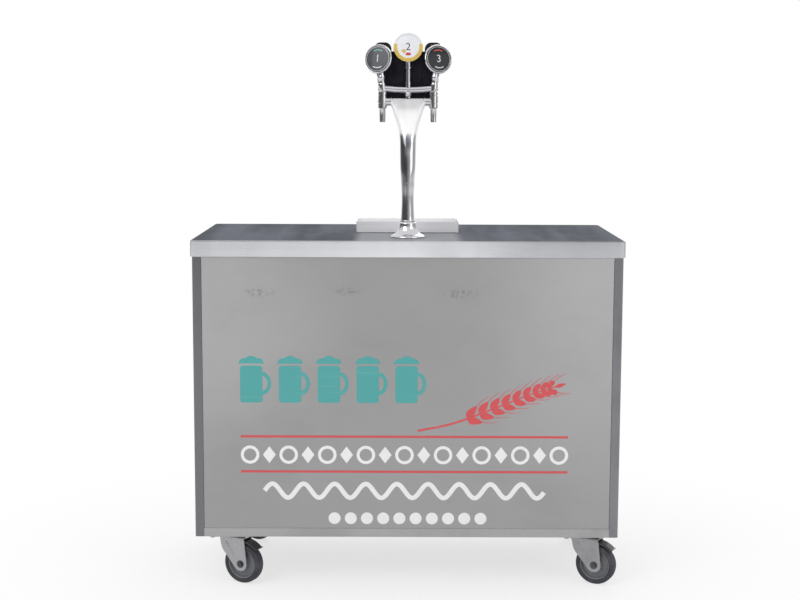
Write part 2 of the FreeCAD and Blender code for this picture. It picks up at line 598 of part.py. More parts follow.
def tower_column():
    """The column: round at the foot, swelling and leaning back into a wide hood that seats on the manifold."""
    stations = [
        ("foot_height", "neck_radius", "neck_radius", 0, 0),
        ("waist_height", "waist_radius", "waist_radius", 0, 0),
        ("belly_height", "belly_half_width", "belly_half_depth", size("belly_lean"), 0),
        ("shoulder_height", "shoulder_half_width", "shoulder_half_depth", size("shoulder_lean"), size("shoulder_tilt")),
        ("hood_height", "hood_half_width", "hood_half_depth", size("hood_lean"), size("hood_tilt")),
        ("brow_height", "brow_half_width", "brow_half_depth", size("brow_lean"), size("brow_tilt"))]
    base = FreeCAD.Vector(0, size("tower_setback") - size("counter_depth") / 2, size("counter_height"))
    sides = int(size("column_sides"))
    rings = []
    for height, across, deep, lean, tilt in stations:
        turn = FreeCAD.Rotation(FreeCAD.Vector(1, 0, 0), -tilt)
        corners = []
        for index in range(sides):
            step = 2 * math.pi * (index + 1 / 2) / sides
            flat = FreeCAD.Vector(size(across) * math.cos(step), size(deep) * math.sin(step), 0)
            corners.append(base + FreeCAD.Vector(0, lean, size(height)) + turn.multVec(flat))
        rings.append(Part.makePolygon(corners + corners[:1]))
    loft = doc.addObject("Part::Feature", "column_loft")
    loft.Shape = Part.makeLoft(rings, True, False)
    seat = rod("column_seat", ("-tap_pitch", HEAD_Y, TAP_Z), "manifold_radius", "2 * tap_pitch", axis=(0, 1, 0))
    node("tower_column", cut("column_seated", loft, seat))


def tower_head():
    """The manifold tube between the two outlet barrels."""
    made = []
    for side, way in SIDES.items():
        x = f"{way} * tap_pitch"
        barrel = prism(f"barrel_{side}", (x, HEAD_Y, "counter_height + barrel_shoulder"), "barrel_radius",
                       "barrel_top - barrel_shoulder", angle=0, sides="turned_sides")
        nozzle = prism(f"nozzle_{side}", (x, HEAD_Y, "counter_height + barrel_bottom"), "nozzle_radius",
                       "barrel_shoulder - barrel_bottom", angle=0, sides="turned_sides")
        made.append(fuse(f"barrel_fused_{side}", barrel, nozzle))
    node("outlet_barrels", group("barrels_group", *made))
    tube = rod("manifold_tube", ("-tap_pitch", HEAD_Y, TAP_Z), "manifold_radius", "2 * tap_pitch", axis=(0, 1, 0))
    seats = [prism(f"manifold_seat_{side}", (f"{way} * tap_pitch", HEAD_Y, "counter_height + barrel_shoulder"),
                   "barrel_radius", "barrel_top - barrel_shoulder", angle=0, sides="turned_sides")
             for side, way in SIDES.items()]
    node("manifold", cut("manifold_seated", tube, *seats))


def taps():
    """Three taps: shank and collar, body with the ears and pin of its lever, and a raked spout."""
    made = []
    for tap, way in TAPS.items():
        x = f"{way} * tap_pitch"
        shank = prism(f"shank_{tap}", (x, HEAD_Y, TAP_Z), "tap_shank_radius", "tap_start - manifold_lean",
                      axis=(1, 0, 0), angle=-90, sides="turned_sides")
        collar = prism(f"collar_{tap}", (x, f"{TAP_Y} - collar_length", TAP_Z), "collar_radius",
                         "collar_length", axis=(1, 0, 0), angle=-90)
        seats = [rod(f"manifold_side_{tap}", ("-tap_pitch", HEAD_Y, TAP_Z), "manifold_radius", "2 * tap_pitch",
                     axis=(0, 1, 0))]
        if way:
            seats.append(prism(f"shank_seat_{tap}", (x, HEAD_Y, "counter_height + barrel_shoulder"), "barrel_radius",
                               "barrel_top - barrel_shoulder", angle=0, sides="turned_sides"))
        barrel = prism(f"tap_barrel_{tap}", (x, TAP_Y, TAP_Z), "tap_radius", "tap_length", axis=(1, 0, 0), angle=-90,
                       sides="turned_sides")
        ears = [box(f"ear_{tap}_{number}", (
            f"{x} + {ear} * (ear_gap / 2 + ear_thickness / 2) - ear_thickness / 2", f"{PIVOT_Y} - ear_radius", TAP_Z), (
            "ear_thickness", "2 * ear_radius", "pivot_rise + ear_radius")) for number, ear in enumerate((-1, 1))]
        pin = rod(f"pin_{tap}", (f"{x} - ear_gap / 2", PIVOT_Y, PIVOT_Z), "pin_radius", "ear_gap", axis=(0, 1, 0))
        spot = (x, f"{TAP_Y} + spout_setback", TAP_Z)
        length = "manifold_height - spout_bottom"
        tilt = 180 + size("spout_tilt")
        spout = prism(f"spout_{tap}", spot, "spout_radius", length, axis=(1, 0, 0), angle=tilt, sides="turned_sides")
        solid = fuse(f"tap_fused_{tap}", shank, collar, barrel, *ears, pin, spout)
        made.append(cut(f"tap_seated_{tap}", solid, *seats))
    node("taps", group("taps_group", *made))


def tap_lever(tap, way):
    """The lever that rocks on the tap's pin, and the black grip on its stem."""
    x = f"{way} * tap_pitch"
    eye_width = "(ear_gap - 2 * ear_clearance)"
    eye = box(f"eye_{tap}", (f"{x} - {eye_width} / 2", f"{PIVOT_Y} - ear_radius", f"{PIVOT_Z} - ear_radius"), (
        eye_width, "2 * ear_radius", "2 * ear_radius"))
    stem = prism(f"stem_{tap}", (x, PIVOT_Y, PIVOT_Z), "stem_radius", "stem_length", angle=0)
    bore = rod(f"eye_bore_{tap}", (f"{x} - ear_gap", PIVOT_Y, PIVOT_Z), "pin_radius + pin_clearance", "2 * ear_gap",
               axis=(0, 1, 0))
    node(f"tap_lever_{tap}", cut(f"lever_bored_{tap}", fuse(f"lever_fused_{tap}", eye, stem), bore))

    body = new_body(f"grip_body_{tap}")
    board = outline(body, f"grip_board_{tap}", "XZ_Plane", [
        ("-grip_foot / 2", "0"), ("grip_foot / 2", "0"), ("grip_head / 2", "grip_height - grip_round"),
        ("grip_head / 2 - grip_round", "grip_height"), ("-grip_head / 2 + grip_round", "grip_height"),
        ("-grip_head / 2", "grip_height - grip_round")])
    pad(body, board, "grip_thickness", middle=True)
    place(body, x, PIVOT_Y, f"{PIVOT_Z} + stem_length")
    node(f"lever_grip_{tap}", body)


def medallion_seats():
    """Every medallion: its name, its centre and its turn, which tilts it back and yaws it outward."""
    for tap, way in TAPS.items():
        height = size("centre_medallion_height") - abs(way) * size("side_medallion_drop")
        y = -size("counter_depth") / 2 + size("tower_setback") + size("manifold_lean")
        centre = FreeCAD.Vector(way * size("side_medallion_offset"), y, size("counter_height") + height)
        turn = turn_of(((1, 0, 0), 90 - size("medallion_tilt")), ((0, 0, 1), way * size("medallion_yaw")))
        yield tap, way, centre, turn


def medallion_piece(name, radius, depth, start, centre, turn):
    """A round slice of a medallion: its start lies along the axis, which points at the customer."""
    made = doc.addObject("Part::Prism", name)
    drive(made, Polygon="disc_sides", Circumradius=radius, Height=depth)
    made.Placement = FreeCAD.Placement(centre + turn.multVec(FreeCAD.Vector(0, 0, start)), turn)
    return made


def medallions():
    """Three round cups with a disc on each, the trident that carries them, and the back plate behind it."""
    cups, discs, tools = [], [], []
    half = size("medallion_depth") / 2
    for tap, way, centre, turn in medallion_seats():
        cups.append(medallion_piece(f"cup_{tap}", "medallion_radius", "medallion_depth", -half, centre, turn))
        tools.append(medallion_piece(f"cup_seat_{tap}", "medallion_radius", "medallion_depth", -half, centre, turn))
        discs.append(medallion_piece(f"disc_{tap}", "disc_radius", "disc_thickness", half, centre, turn))
    node("medallion_cups", group("cups_group", *cups))
    node("medallion_discs", group("discs_group", *discs))
    bar = prism("trident_bar", ("-bar_half", HEAD_Y, "counter_height + bar_height"), "bar_radius", "2 * bar_half",
                axis=(0, 1, 0), sides="turned_sides")
    stems = [prism(f"side_stem_{side}", (f"{way} * tap_pitch", HEAD_Y, "counter_height + barrel_top"),
                   "side_stem_radius", "side_stem_top - barrel_top", angle=0, sides="turned_sides")
             for side, way in SIDES.items()]
    centre_stem = prism("centre_stem", ("0", HEAD_Y, TAP_Z), "centre_stem_radius",
                        "centre_medallion_height - manifold_height - medallion_radius / 2", angle=0,
                        sides="turned_sides")
    saddle = rod("trident_saddle", ("-tap_pitch", HEAD_Y, TAP_Z), "manifold_radius", "2 * tap_pitch", axis=(0, 1, 0))
    trident = fuse("trident_fused", bar, *stems, centre_stem)
    node("medallion_trident", cut("trident_seated", trident, saddle, *tools))

    field = new_body("backplate_body")
    low, shoulder = "manifold_height + manifold_radius", "centre_medallion_height - backplate_shoulder"
    top = "centre_medallion_height - backplate_shoulder + backplate_top"
    plan = outline(field, "backplate_plan", "XZ_Plane", [
        ("-backplate_half_width", low), ("backplate_half_width", low), ("backplate_half_width", shoulder),
        ("backplate_half_width - backplate_corner", top), ("-backplate_half_width + backplate_corner", top),
        ("-backplate_half_width", shoulder)])
    pad(field, plan, "backplate_sheet")
    place(field, "0", f"{HEAD_Y} + bar_radius + backplate_sheet", "counter_height")
    seats = []
    for side, way in SIDES.items():
        seats.append(prism(f"plate_stem_seat_{side}", (f"{way} * tap_pitch", HEAD_Y, "counter_height + barrel_top"),
                           "side_stem_radius", "side_stem_top - barrel_top", angle=0, sides="turned_sides"))
        seats.append(prism(f"plate_barrel_seat_{side}", (
            f"{way} * tap_pitch", HEAD_Y, "counter_height + barrel_shoulder"), "barrel_radius",
            "barrel_top - barrel_shoulder", angle=0, sides="turned_sides"))
    node("medallion_backplate", cut("backplate_seated", field, *seats))


def drip_tray():
    """The lift-off drip tray behind the tower and the slotted grille that stands in it on its folded ends."""
    tray = rounded_block("tray_block", ("-tray_width / 2", TRAY_Y, "counter_height"), (
        "tray_width", "tray_depth", "tray_height"), "tray_round")
    hollow = rounded_block("tray_hollow", (
        "-tray_width / 2 + tray_sheet", f"{TRAY_Y} + tray_sheet", "counter_height + tray_sheet"), (
        "tray_width - 2 * tray_sheet", "tray_depth - 2 * tray_sheet", "tray_height"), "tray_round - tray_sheet")
    node("drip_tray", cut("tray_hollowed", tray, hollow))

    gap = "(tray_sheet + grille_clearance)"
    top = "(tray_height - grille_drop)"
    plate = rounded_block("grille_block", (
        f"-tray_width / 2 + {gap}", f"{TRAY_Y} + {gap}", "counter_height + tray_sheet"), (
        f"tray_width - 2 * {gap}", f"tray_depth - 2 * {gap}", f"{top} - tray_sheet"), f"tray_round - {gap}")
    under = box("grille_under", (f"-tray_width / 2 + {gap} + grille_sheet", TRAY_Y, "counter_height"), (
        f"tray_width - 2 * {gap} - 2 * grille_sheet", "tray_depth", f"{top} - grille_sheet"))
    count = int(size("grille_slots"))
    pitch = "(tray_width - 2 * grille_end_margin) / grille_slots"
    slots = [box(f"slot_{number}", (
        f"({number} - (grille_slots - 1) / 2) * {pitch} - grille_slot / 2",
        f"{TRAY_Y} + grille_slot_margin", "counter_height"), (
        "grille_slot", "tray_depth - 2 * grille_slot_margin", "tray_height + overrun")) for number in range(count)]
    node("drip_grille", cut("grille_cut", plate, under, *slots))


def cooling():
    """The insulated ice tub with liner, lid and deck, the cold plate in it and the lines through its wall."""
    floor = FLOOR_TOP
    shell = box("tub_block", (TUB_LEFT, TUB_FRONT, floor), (TUB_WIDTH, TUB_DEPTH, "tub_height"))
    inner = box("tub_inside", (f"{TUB_LEFT} + tub_wall", f"{TUB_FRONT} + tub_wall", f"{floor} + tub_wall"), (
        f"{TUB_WIDTH} - 2 * tub_wall", f"{TUB_DEPTH} - 2 * tub_wall", "tub_height"))
    node("tub_shell", cut("shell_cut", shell, inner, line_slot("shell_slot")))

    gap = "(tub_wall + liner_clearance)"
    pan = box("liner_block", (f"{TUB_LEFT} + {gap}", f"{TUB_FRONT} + {gap}", f"{floor} + tub_wall"), (
        f"{TUB_WIDTH} - 2 * {gap}", f"{TUB_DEPTH} - 2 * {gap}", "tub_height - tub_wall"))
    flange = box("liner_flange_block", (
        f"{TUB_LEFT} + {gap} - liner_flange", f"{TUB_FRONT} + {gap} - liner_flange", TUB_TOP), (
        f"{TUB_WIDTH} - 2 * {gap} + 2 * liner_flange", f"{TUB_DEPTH} - 2 * {gap} + 2 * liner_flange",
        "liner_sheet"))
    inset = "(tub_wall + liner_clearance + liner_sheet)"
    void = box("liner_inside", (
        f"{TUB_LEFT} + {inset}", f"{TUB_FRONT} + {inset}", f"{floor} + tub_wall + liner_sheet"), (
        f"{TUB_WIDTH} - 2 * {inset}", f"{TUB_DEPTH} - 2 * {inset}", "tub_height + overrun"))
    node("tub_liner", cut("liner_cut", fuse("liner_fused", pan, flange), void, line_slot("liner_slot")))

    cover_low = f"{TUB_TOP} + liner_sheet"
    lid_width = f"({TUB_WIDTH} - deck_width - deck_gap)"
    lid = box("lid_block", (TUB_LEFT, TUB_FRONT, cover_low), (lid_width, TUB_DEPTH, "lid_thickness"))
    grip = box("lid_grip_block", (
        f"{TUB_LEFT} + {lid_width} / 2 - lid_grip / 2", TUB_REAR, f"{cover_low} + lid_thickness / 2"), (
        "lid_grip", "lid_grip_depth", "lid_thickness / 4"))
    barrel_length = f"({lid_width} - 2 * lid_hinge_inset)"
    barrel = rod("lid_barrel", (f"{TUB_LEFT} + lid_hinge_inset", f"{TUB_FRONT} - lid_hinge_radius / 2",
                                f"{cover_low} + lid_hinge_radius"), "lid_hinge_radius", barrel_length, axis=(0, 1, 0))
    node("tub_lid", fuse("lid_fused", lid, grip, barrel))
    node("lid_hinge_leaf", box("lid_leaf_plate", (
        f"{TUB_LEFT} + lid_hinge_inset", f"{TUB_FRONT} - lid_leaf",
        f"{cover_low} - lid_leaf_gap - lid_leaf_height"), (barrel_length, "lid_leaf", "lid_leaf_height")))
    deck = box("deck_block", ("tub_tower_reach - deck_width", TUB_FRONT, cover_low), (
        "deck_width", TUB_DEPTH, "lid_thickness"))
    gland = rod("gland", ("0", TOWER_Y, f"{cover_low} + lid_thickness"), "gland_radius", "gland_height")
    node("tub_deck", fuse("deck_fused", deck, gland))
    node("python_hose", rod("hose", ("0", TOWER_Y, f"{cover_low} + lid_thickness + gland_height"), "hose_radius",
                            f"{CORE_BOTTOM} - nut_height - ({cover_low}) - lid_thickness - gland_height"))

    end_inset, side_inset = "(tub_wall + liner_sheet + plate_end_gap)", "(tub_wall + liner_sheet + plate_side_gap)"
    plate = box("plate_block", (f"{TUB_LEFT} + {end_inset}", f"{TUB_FRONT} + {side_inset}", PLATE_BOTTOM), (
        f"{TUB_WIDTH} - 2 * {end_inset}", f"{TUB_DEPTH} - 2 * {side_inset}", "plate_z"))
    stubs = [prism(f"stub_{number + 1}", (f"tub_tower_reach - {end_inset}", line_y(number), LINE_Z), "line_radius",
                   end_inset, axis=(0, 1, 0)) for number in (-1, 0, 1)]
    node("cold_plate", fuse("plate_cast", plate, *stubs))

    fittings = []
    for number in (-1, 0, 1):
        nut = prism(f"fitting_nut_{number + 1}", ("tub_tower_reach", line_y(number), LINE_Z), "fitting_nut",
                      "fitting_nut_length", axis=(0, 1, 0))
        barb = rod(f"barb_{number + 1}", ("tub_tower_reach + fitting_nut_length", line_y(number), LINE_Z),
                   "barb_radius", "barb_length", axis=(0, 1, 0))
        fittings.append(fuse(f"fitting_{number + 1}", nut, barb))
    node("line_fittings", group("fittings_group", *fittings))


def line_y(number):
    """Where a beer line crosses the tub's right wall."""
    return f"(({TUB_FRONT} + {TUB_REAR}) / 2 + {number} * line_pitch)"


def line_slot(name):
    """One slot in the tub's right wall for the three beer lines."""
    half = "(line_radius + line_clearance)"
    return box(name, ("tub_tower_reach - tub_wall - overrun", f"{line_y(-1)} - {half}", f"{LINE_Z} - {half}"), (
        "tub_wall + 2 * overrun", f"2 * line_pitch + 2 * {half}", f"2 * {half}"))


def drain_valve():
    """The melt-water valve on the tub's rear wall and the lever that turns on top of it."""
    body = prism("valve_body", (TUB_MIDDLE, TUB_REAR, VALVE_Z), "valve_radius", "valve_length", axis=(1, 0, 0),
                   angle=-90)
    spigot = rod("valve_spigot", (TUB_MIDDLE, f"{TUB_REAR} + valve_length", VALVE_Z), "spigot_radius",
                 "spigot_length", axis=(1, 0, 0), angle=-90)
    stem_y = f"({TUB_REAR} + valve_length / 2)"
    stem = rod("valve_stem", (TUB_MIDDLE, stem_y, VALVE_Z), "valve_stem_radius", "valve_radius + valve_stem_length")
    node("drain_valve", fuse("valve_fused", body, spigot, stem))
    low = f"({VALVE_Z} + valve_radius + valve_stem_length - valve_lever_thickness)"
    arm = box("valve_arm", (f"{TUB_MIDDLE} - valve_lever_width / 2", f"{stem_y} - valve_lever_width / 2", low), (
        "valve_lever", "valve_lever_width", "valve_lever_thickness"))
    bore = rod("valve_arm_bore", (TUB_MIDDLE, stem_y, f"{low} - overrun"), "valve_stem_radius + valve_clearance",
               "valve_lever_thickness + 2 * overrun")
    node("drain_lever", cut("valve_arm_bored", arm, bore))


def write_parts():
    """Check every object and every sub-part, and write each sub-part's file."""
    doc.recompute()
    failed = [made.Name for made in doc.Objects if {"Invalid", "Error"} & set(made.State)]
    if failed:
        raise RuntimeError(f"failed objects: {failed}")
    for label, made in nodes.items():
        if made.Shape.isNull() or not made.Shape.isValid() or not made.Shape.Solids:
            raise RuntimeError(f"bad shape: {label}")
    os.makedirs("parts", exist_ok=True)
    for label, made in nodes.items():
        made.Shape.exportStep(f"parts/{label}.step")
    print(len(nodes), "sub-parts")


frame_posts()
frame_rails()
floor_pan()
front_panel()
side_panels()
counter_top()
for door_side, door_way in SIDES.items():
    door(door_side, door_way)
hinge_frame_leaves()
magnet_catches()
castor_bearers()
castor_plates()
for castor_end, castor_side, castor_x, castor_y in castor_places():
    castor_fork(castor_end, castor_side, castor_x, castor_y)
    wheel(castor_end, castor_side, castor_x, castor_y)
    if castor_end == "front":
        brake_pedal(castor_side, castor_x, castor_y)
tower_foot()
tower_column()
tower_head()
taps()
for tap_name, tap_way in TAPS.items():
    tap_lever(tap_name, tap_way)
medallions()
drip_tray()
cooling()
drain_valve()
write_parts()
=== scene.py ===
"""Looks of the mobile draught bar: every visible piece and finish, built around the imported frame.

Metres in the part's own frame: X to the right as the customer sees the bar, Y from the customer to the
bartender, Z up from the floor. Lengths below are written in millimetres and scaled by MM.
"""
import math

import bmesh
import bpy
from mathutils import Matrix, Vector


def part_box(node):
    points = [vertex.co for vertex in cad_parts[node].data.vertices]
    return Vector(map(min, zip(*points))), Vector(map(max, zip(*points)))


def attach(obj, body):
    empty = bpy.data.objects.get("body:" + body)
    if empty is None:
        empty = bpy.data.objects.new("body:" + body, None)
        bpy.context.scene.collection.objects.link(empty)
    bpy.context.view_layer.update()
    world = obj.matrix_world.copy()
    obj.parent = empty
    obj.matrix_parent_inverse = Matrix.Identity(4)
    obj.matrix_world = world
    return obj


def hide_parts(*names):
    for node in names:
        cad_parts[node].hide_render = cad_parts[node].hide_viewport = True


bl_info = {
    "name": "Mobile draught bar",
    "version": (1, 0, 0),
    "blender": (4, 5, 0),
    "location": "3D View > Sidebar > Draught bar",
    "description": "Builds the visible pieces and finishes of a wheeled draught bar with a tap tower",
    "category": "Object",
}

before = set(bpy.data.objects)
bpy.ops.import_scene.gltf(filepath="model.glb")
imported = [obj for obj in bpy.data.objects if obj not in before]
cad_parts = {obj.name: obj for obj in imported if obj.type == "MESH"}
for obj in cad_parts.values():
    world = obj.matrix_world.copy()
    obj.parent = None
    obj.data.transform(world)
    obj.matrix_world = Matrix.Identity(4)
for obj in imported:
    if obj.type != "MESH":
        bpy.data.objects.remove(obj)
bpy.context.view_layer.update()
MM = 0.001
X, Y, Z = Vector((1, 0, 0)), Vector((0, 1, 0)), Vector((0, 0, 1))
SIDES = (("left", -1), ("right", 1))
TAPS = (("left", -1), ("centre", 0), ("right", 1))
TAP_PITCH = 73
FINE = 0.0003  # the least rounding of an edge, in metres
SHARP = 0.9    # the angle between two faces, in radians, past which their edge is rounded


def ends(node):
    """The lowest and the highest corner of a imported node, in millimetres."""
    return [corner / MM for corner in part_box(node)]


def middle(node):
    """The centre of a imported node's box, in millimetres."""
    low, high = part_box(node)
    return (low + high) / 2 / MM


# ---------------------------------------------------------------- sizes and colours a user would change

def length(name, default, words):
    return bpy.props.FloatProperty(name=name, description=words, default=default, unit="LENGTH", precision=4)


def colour(name, default, words):
    return bpy.props.FloatVectorProperty(name=name, description=words, default=default, subtype="COLOR", size=3,
                                         min=0, max=1)


class BarSizes(bpy.types.PropertyGroup):
    """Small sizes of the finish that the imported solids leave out."""
    fold: length("Fold radius", 0.0024, "Radius of the counter's folded top edge")
    edge: length("Sheet edge", 0.0004, "Rounding of a cut sheet edge")
    tube_edge: length("Tube edge", 0.0006, "Rounding of the frame tubes' ends")
    vinyl: length("Film thickness", 0.0003, "How far the cut film stands proud of the front panel")
    dish: length("Panel dish", 0.0005, "How far the front sheet is dished by its own slack")
    bow: length("Bar bow", 0.005, "Sag of the medallion bar at its middle")
    dome: length("Medallion dome", 0.0016, "Rise of a medallion face at its centre")


class BarColours(bpy.types.PropertyGroup):
    """Base colours, as linear values."""
    panel: colour("Panel steel", (0.42, 0.415, 0.42), "Brushed sheet of the front, sides and doors")
    post: colour("Post steel", (0.24, 0.24, 0.255), "Polished tube of the frame")
    # painted reflection: the counter top's dark colour stands for the room that its polished sheet mirrors
    counter: colour("Counter steel", (0.130, 0.138, 0.162), "Dark polished sheet of the counter")
    counter_fold: colour("Counter edge", (0.73, 0.74, 0.77), "The counter's turned-down edge")
    tray: colour("Tray steel", (0.88, 0.88, 0.90), "Bright sheet of the drip tray and its grille")
    chrome: colour("Chrome", (0.62, 0.62, 0.645), "Plated tower, taps and medallion rims")
    grip: colour("Grip", (0.012, 0.012, 0.015), "Gloss black tap handles")
    face_left: colour("Left face", (0.045, 0.048, 0.056), "Dark grey medallion face")
    face_centre: colour("Centre face", (0.74, 0.75, 0.78), "White medallion face")
    face_right: colour("Right face", (0.006, 0.007, 0.01), "Near-black medallion face")
    gold: colour("Gold ring", (0.62, 0.43, 0.10), "Printed ring of the centre medallion")
    teal: colour("Teal film", (0.078, 0.376, 0.365), "Cut film of the mug row")
    red: colour("Red film", (0.64, 0.082, 0.09), "Cut film of the barley ear and the rules")
    white: colour("White film", (0.86, 0.86, 0.86), "Cut film of the dots and the wave")
    tyre: colour("Tyre", (0.034, 0.035, 0.042), "Wheel tread")
    core: colour("Wheel core", (0.15, 0.155, 0.17), "Moulded wheel centre")


def sizes():
    return bpy.context.scene.bar_sizes


def colours():
    return bpy.context.scene.bar_colours


# ---------------------------------------------------------------- finishes

class Wire:
    """One shader socket, so that sums of masks read as sums."""

    def __init__(self, paint, socket):
        self.paint, self.socket = paint, socket

    def maths(self, operation, first, second=0.0):
        return self.paint.add("ShaderNodeMath", {"operation": operation}, {0: first, 1: second})

    def __add__(self, other):
        return self.maths("ADD", self, other)

    def __sub__(self, other):
        return self.maths("SUBTRACT", self, other)

    def __rsub__(self, other):
        return self.maths("SUBTRACT", other, self)

    def __mul__(self, other):
        return self.maths("MULTIPLY", self, other)

    def __abs__(self):
        return self.maths("ABSOLUTE", self)

    def most(self, other):
        """The larger of two masks."""
        return self.maths("MAXIMUM", self, other)

    __radd__ = __add__
    __rmul__ = __mul__


class Paint:
    """A node material or world: a few methods that add nodes, and the shader at the end."""

    def __init__(self, name, owners=None, place="Object"):
        self.owner = (bpy.data.materials if owners is None else owners).new(name)
        self.owner.use_nodes = True
        self.tree = self.owner.node_tree
        self.tree.nodes.clear()
        self.place = self.add("ShaderNodeTexCoord", {}, {}, place)

    def add(self, kind, settings, sockets, output=0):
        """Add one node: its settings first, then the values or wires of its sockets."""
        made = self.tree.nodes.new(kind)
        for key, value in settings.items():
            if key == "stops":
                ramp = made.color_ramp
                for index, (where, grey) in enumerate(value):
                    stop = ramp.elements[index] if index < 2 else ramp.elements.new(where)
                    stop.position, stop.color = where, (grey, grey, grey, 1)
            else:
                setattr(made, key, value)
        for key, value in sockets.items():
            if isinstance(value, Wire):
                self.tree.links.new(value.socket, made.inputs[key])
            else:
                made.inputs[key].default_value = value
        return Wire(self, made.outputs[output])

    def stretched(self, scale, shift=(0, 0, 0)):
        return self.add("ShaderNodeMapping", {}, {"Vector": self.place, "Scale": scale, "Location": shift})

    def noise(self, scale, detail, rough):
        """Cloud noise from 0 to 1; a triple for the scale stretches it."""
        where = self.place
        if not isinstance(scale, (int, float)):
            where, scale = self.stretched(scale), 1
        return self.add("ShaderNodeTexNoise", {}, {"Vector": where, "Scale": scale, "Detail": detail,
                                                   "Roughness": rough})

    def patches(self, scale, detail, rough, low, high):
        """Soft-edged patches of cloud noise: 0 where it is under the low value, 1 over the high one."""
        return self.step(self.noise(scale, detail, rough), low, high)

    def step(self, mask, low, high):
        """A mask that rises from 0 to 1 between two values."""
        return self.add("ShaderNodeMapRange", {"interpolation_type": "SMOOTHSTEP"},
                        {"Value": mask, "From Min": low, "From Max": high})

    def spot(self, centre, radii):
        """A soft patch, 1 at its centre and 0 past its radii, in metres."""
        size = tuple(1 / radius for radius in radii)
        shift = tuple(-part * scale for part, scale in zip(centre, size))
        reach = self.add("ShaderNodeVectorMath", {"operation": "LENGTH"}, {0: self.stretched(size, shift)}, "Value")
        return 1 - self.step(reach, 0.2, 1.0)

    def axis(self, index):
        return self.add("ShaderNodeSeparateXYZ", {}, {0: self.place}, index)

    def sees(self):
        """1 where the camera, a mirror or glass looks, 0 for the rays that carry light."""
        camera, mirror, glass = (self.add("ShaderNodeLightPath", {}, {}, f"Is {ray} Ray")
                                 for ray in ("Camera", "Glossy", "Transmission"))
        return camera.most(mirror).most(glass)

    def mix(self, mask, first, second):
        """Blend two colours, each a triple or a wire."""
        def four(value):
            return value if isinstance(value, Wire) else (*value, 1)
        return self.add("ShaderNodeMix", {"data_type": "RGBA"}, {0: mask, 6: four(first), 7: four(second)}, 2)

    def finish(self, hue, rough, metal, relief, depth, fixed=None):
        """The shader: colour, roughness, metal, a relief with its depth in metres, and fixed socket values."""
        bump = self.add("ShaderNodeBump", {}, {"Height": relief, "Strength": 1.0, "Distance": depth})
        return self.close(self.add("ShaderNodeBsdfPrincipled", {}, {
            "Base Color": hue, "Roughness": rough, "Metallic": metal, "Normal": bump, **(fixed or {})}))

    def close(self, shader, kind="ShaderNodeOutputMaterial"):
        self.tree.links.new(shader.socket, self.tree.nodes.new(kind).inputs["Surface"])
        return self.owner


def shade(base, factor):
    return tuple(min(1.0, part * factor) for part in base)


def brushed_steel(name, base, along="X", rough=0.34, metal=0.92, grime=0.25, shaded_left=False):
    """Sheet brushed along one axis, with wiped smudges and dull patches, and painted shade that darkens it toward
    the left where asked.
    """
    paint = Paint(name)
    coarse = {"X": (1.2, 220, 220), "Z": (220, 220, 1.2)}[along]
    fine = tuple(value * 3.1 for value in coarse)
    grain = paint.noise(coarse, 4, 0.6) * 0.6 + paint.noise(fine, 2, 0.5) * 0.4
    cloud = paint.patches(5.5, 5, 0.62, 0.46, 0.72)
    wiped = paint.patches((3.0, 3.0, 1.1), 3, 0.5, 0.35, 0.65)
    hue = paint.mix(grain, shade(base, 0.84), shade(base, 1.13))
    hue = paint.mix(cloud * grime, hue, shade(base, 0.62))
    if shaded_left:
        # painted shade: the sheet darker toward the left of the bar, its own colour toward the right
        hue = paint.mix(paint.step(paint.axis(0), -0.5, 0.5), shade(base, 0.78), hue)
    return paint.finish(hue, grain * 0.16 + wiped * 0.07 + cloud * 0.10 + (rough - 0.12), metal, grain, 0.00012,
                        {"Anisotropic": 0.35})


def panel_steel(name, base):
    """The front sheet: brushed across, with painted shade darkening it toward the bottom and a painted highlight on
    its upper ends, and three old rubbed marks near the top.
    """
    paint = Paint(name)
    grain = paint.noise((1.0, 160, 240), 4, 0.62) * 0.55 + paint.noise((2.5, 500, 760), 2, 0.5) * 0.45
    painted_light_rise = paint.step(paint.axis(2), 0.15, 0.95)
    cloud = paint.patches((2.2, 1, 3.4), 5, 0.6, 0.42, 0.75)
    bands = paint.noise((6.0, 1, 0.35), 2, 0.4)
    marks = sum(paint.spot((x, -0.295, z), (wide, 0.2, tall)) for x, z, wide, tall in (
        (-0.41, 0.836, 0.06, 0.017), (-0.165, 0.84, 0.055, 0.016), (0.15, 0.832, 0.065, 0.02)))
    broken = paint.patches(85, 4, 0.7, 0.45, 0.62)
    outer = paint.step(abs(paint.axis(0)), 0.10, 0.52)
    # painted shade: the sheet darker toward the bottom
    hue = paint.mix(painted_light_rise, shade(base, 0.84), base)
    # painted highlight: the sheet lighter toward its upper ends
    hue = paint.mix(outer * painted_light_rise * 0.9, hue, shade(base, 1.42))
    hue = paint.mix(grain * 0.4 + bands * 0.2, hue, shade(base, 1.10))
    hue = paint.mix(cloud * 0.22, hue, shade(base, 0.66))
    hue = paint.mix(marks * broken * 0.55, hue, shade(base, 0.45))
    return paint.finish(hue, grain * 0.14 + cloud * 0.08 + bands * 0.1 + 0.29, 0.90, grain, 0.0001,
                        {"Anisotropic": 0.3})


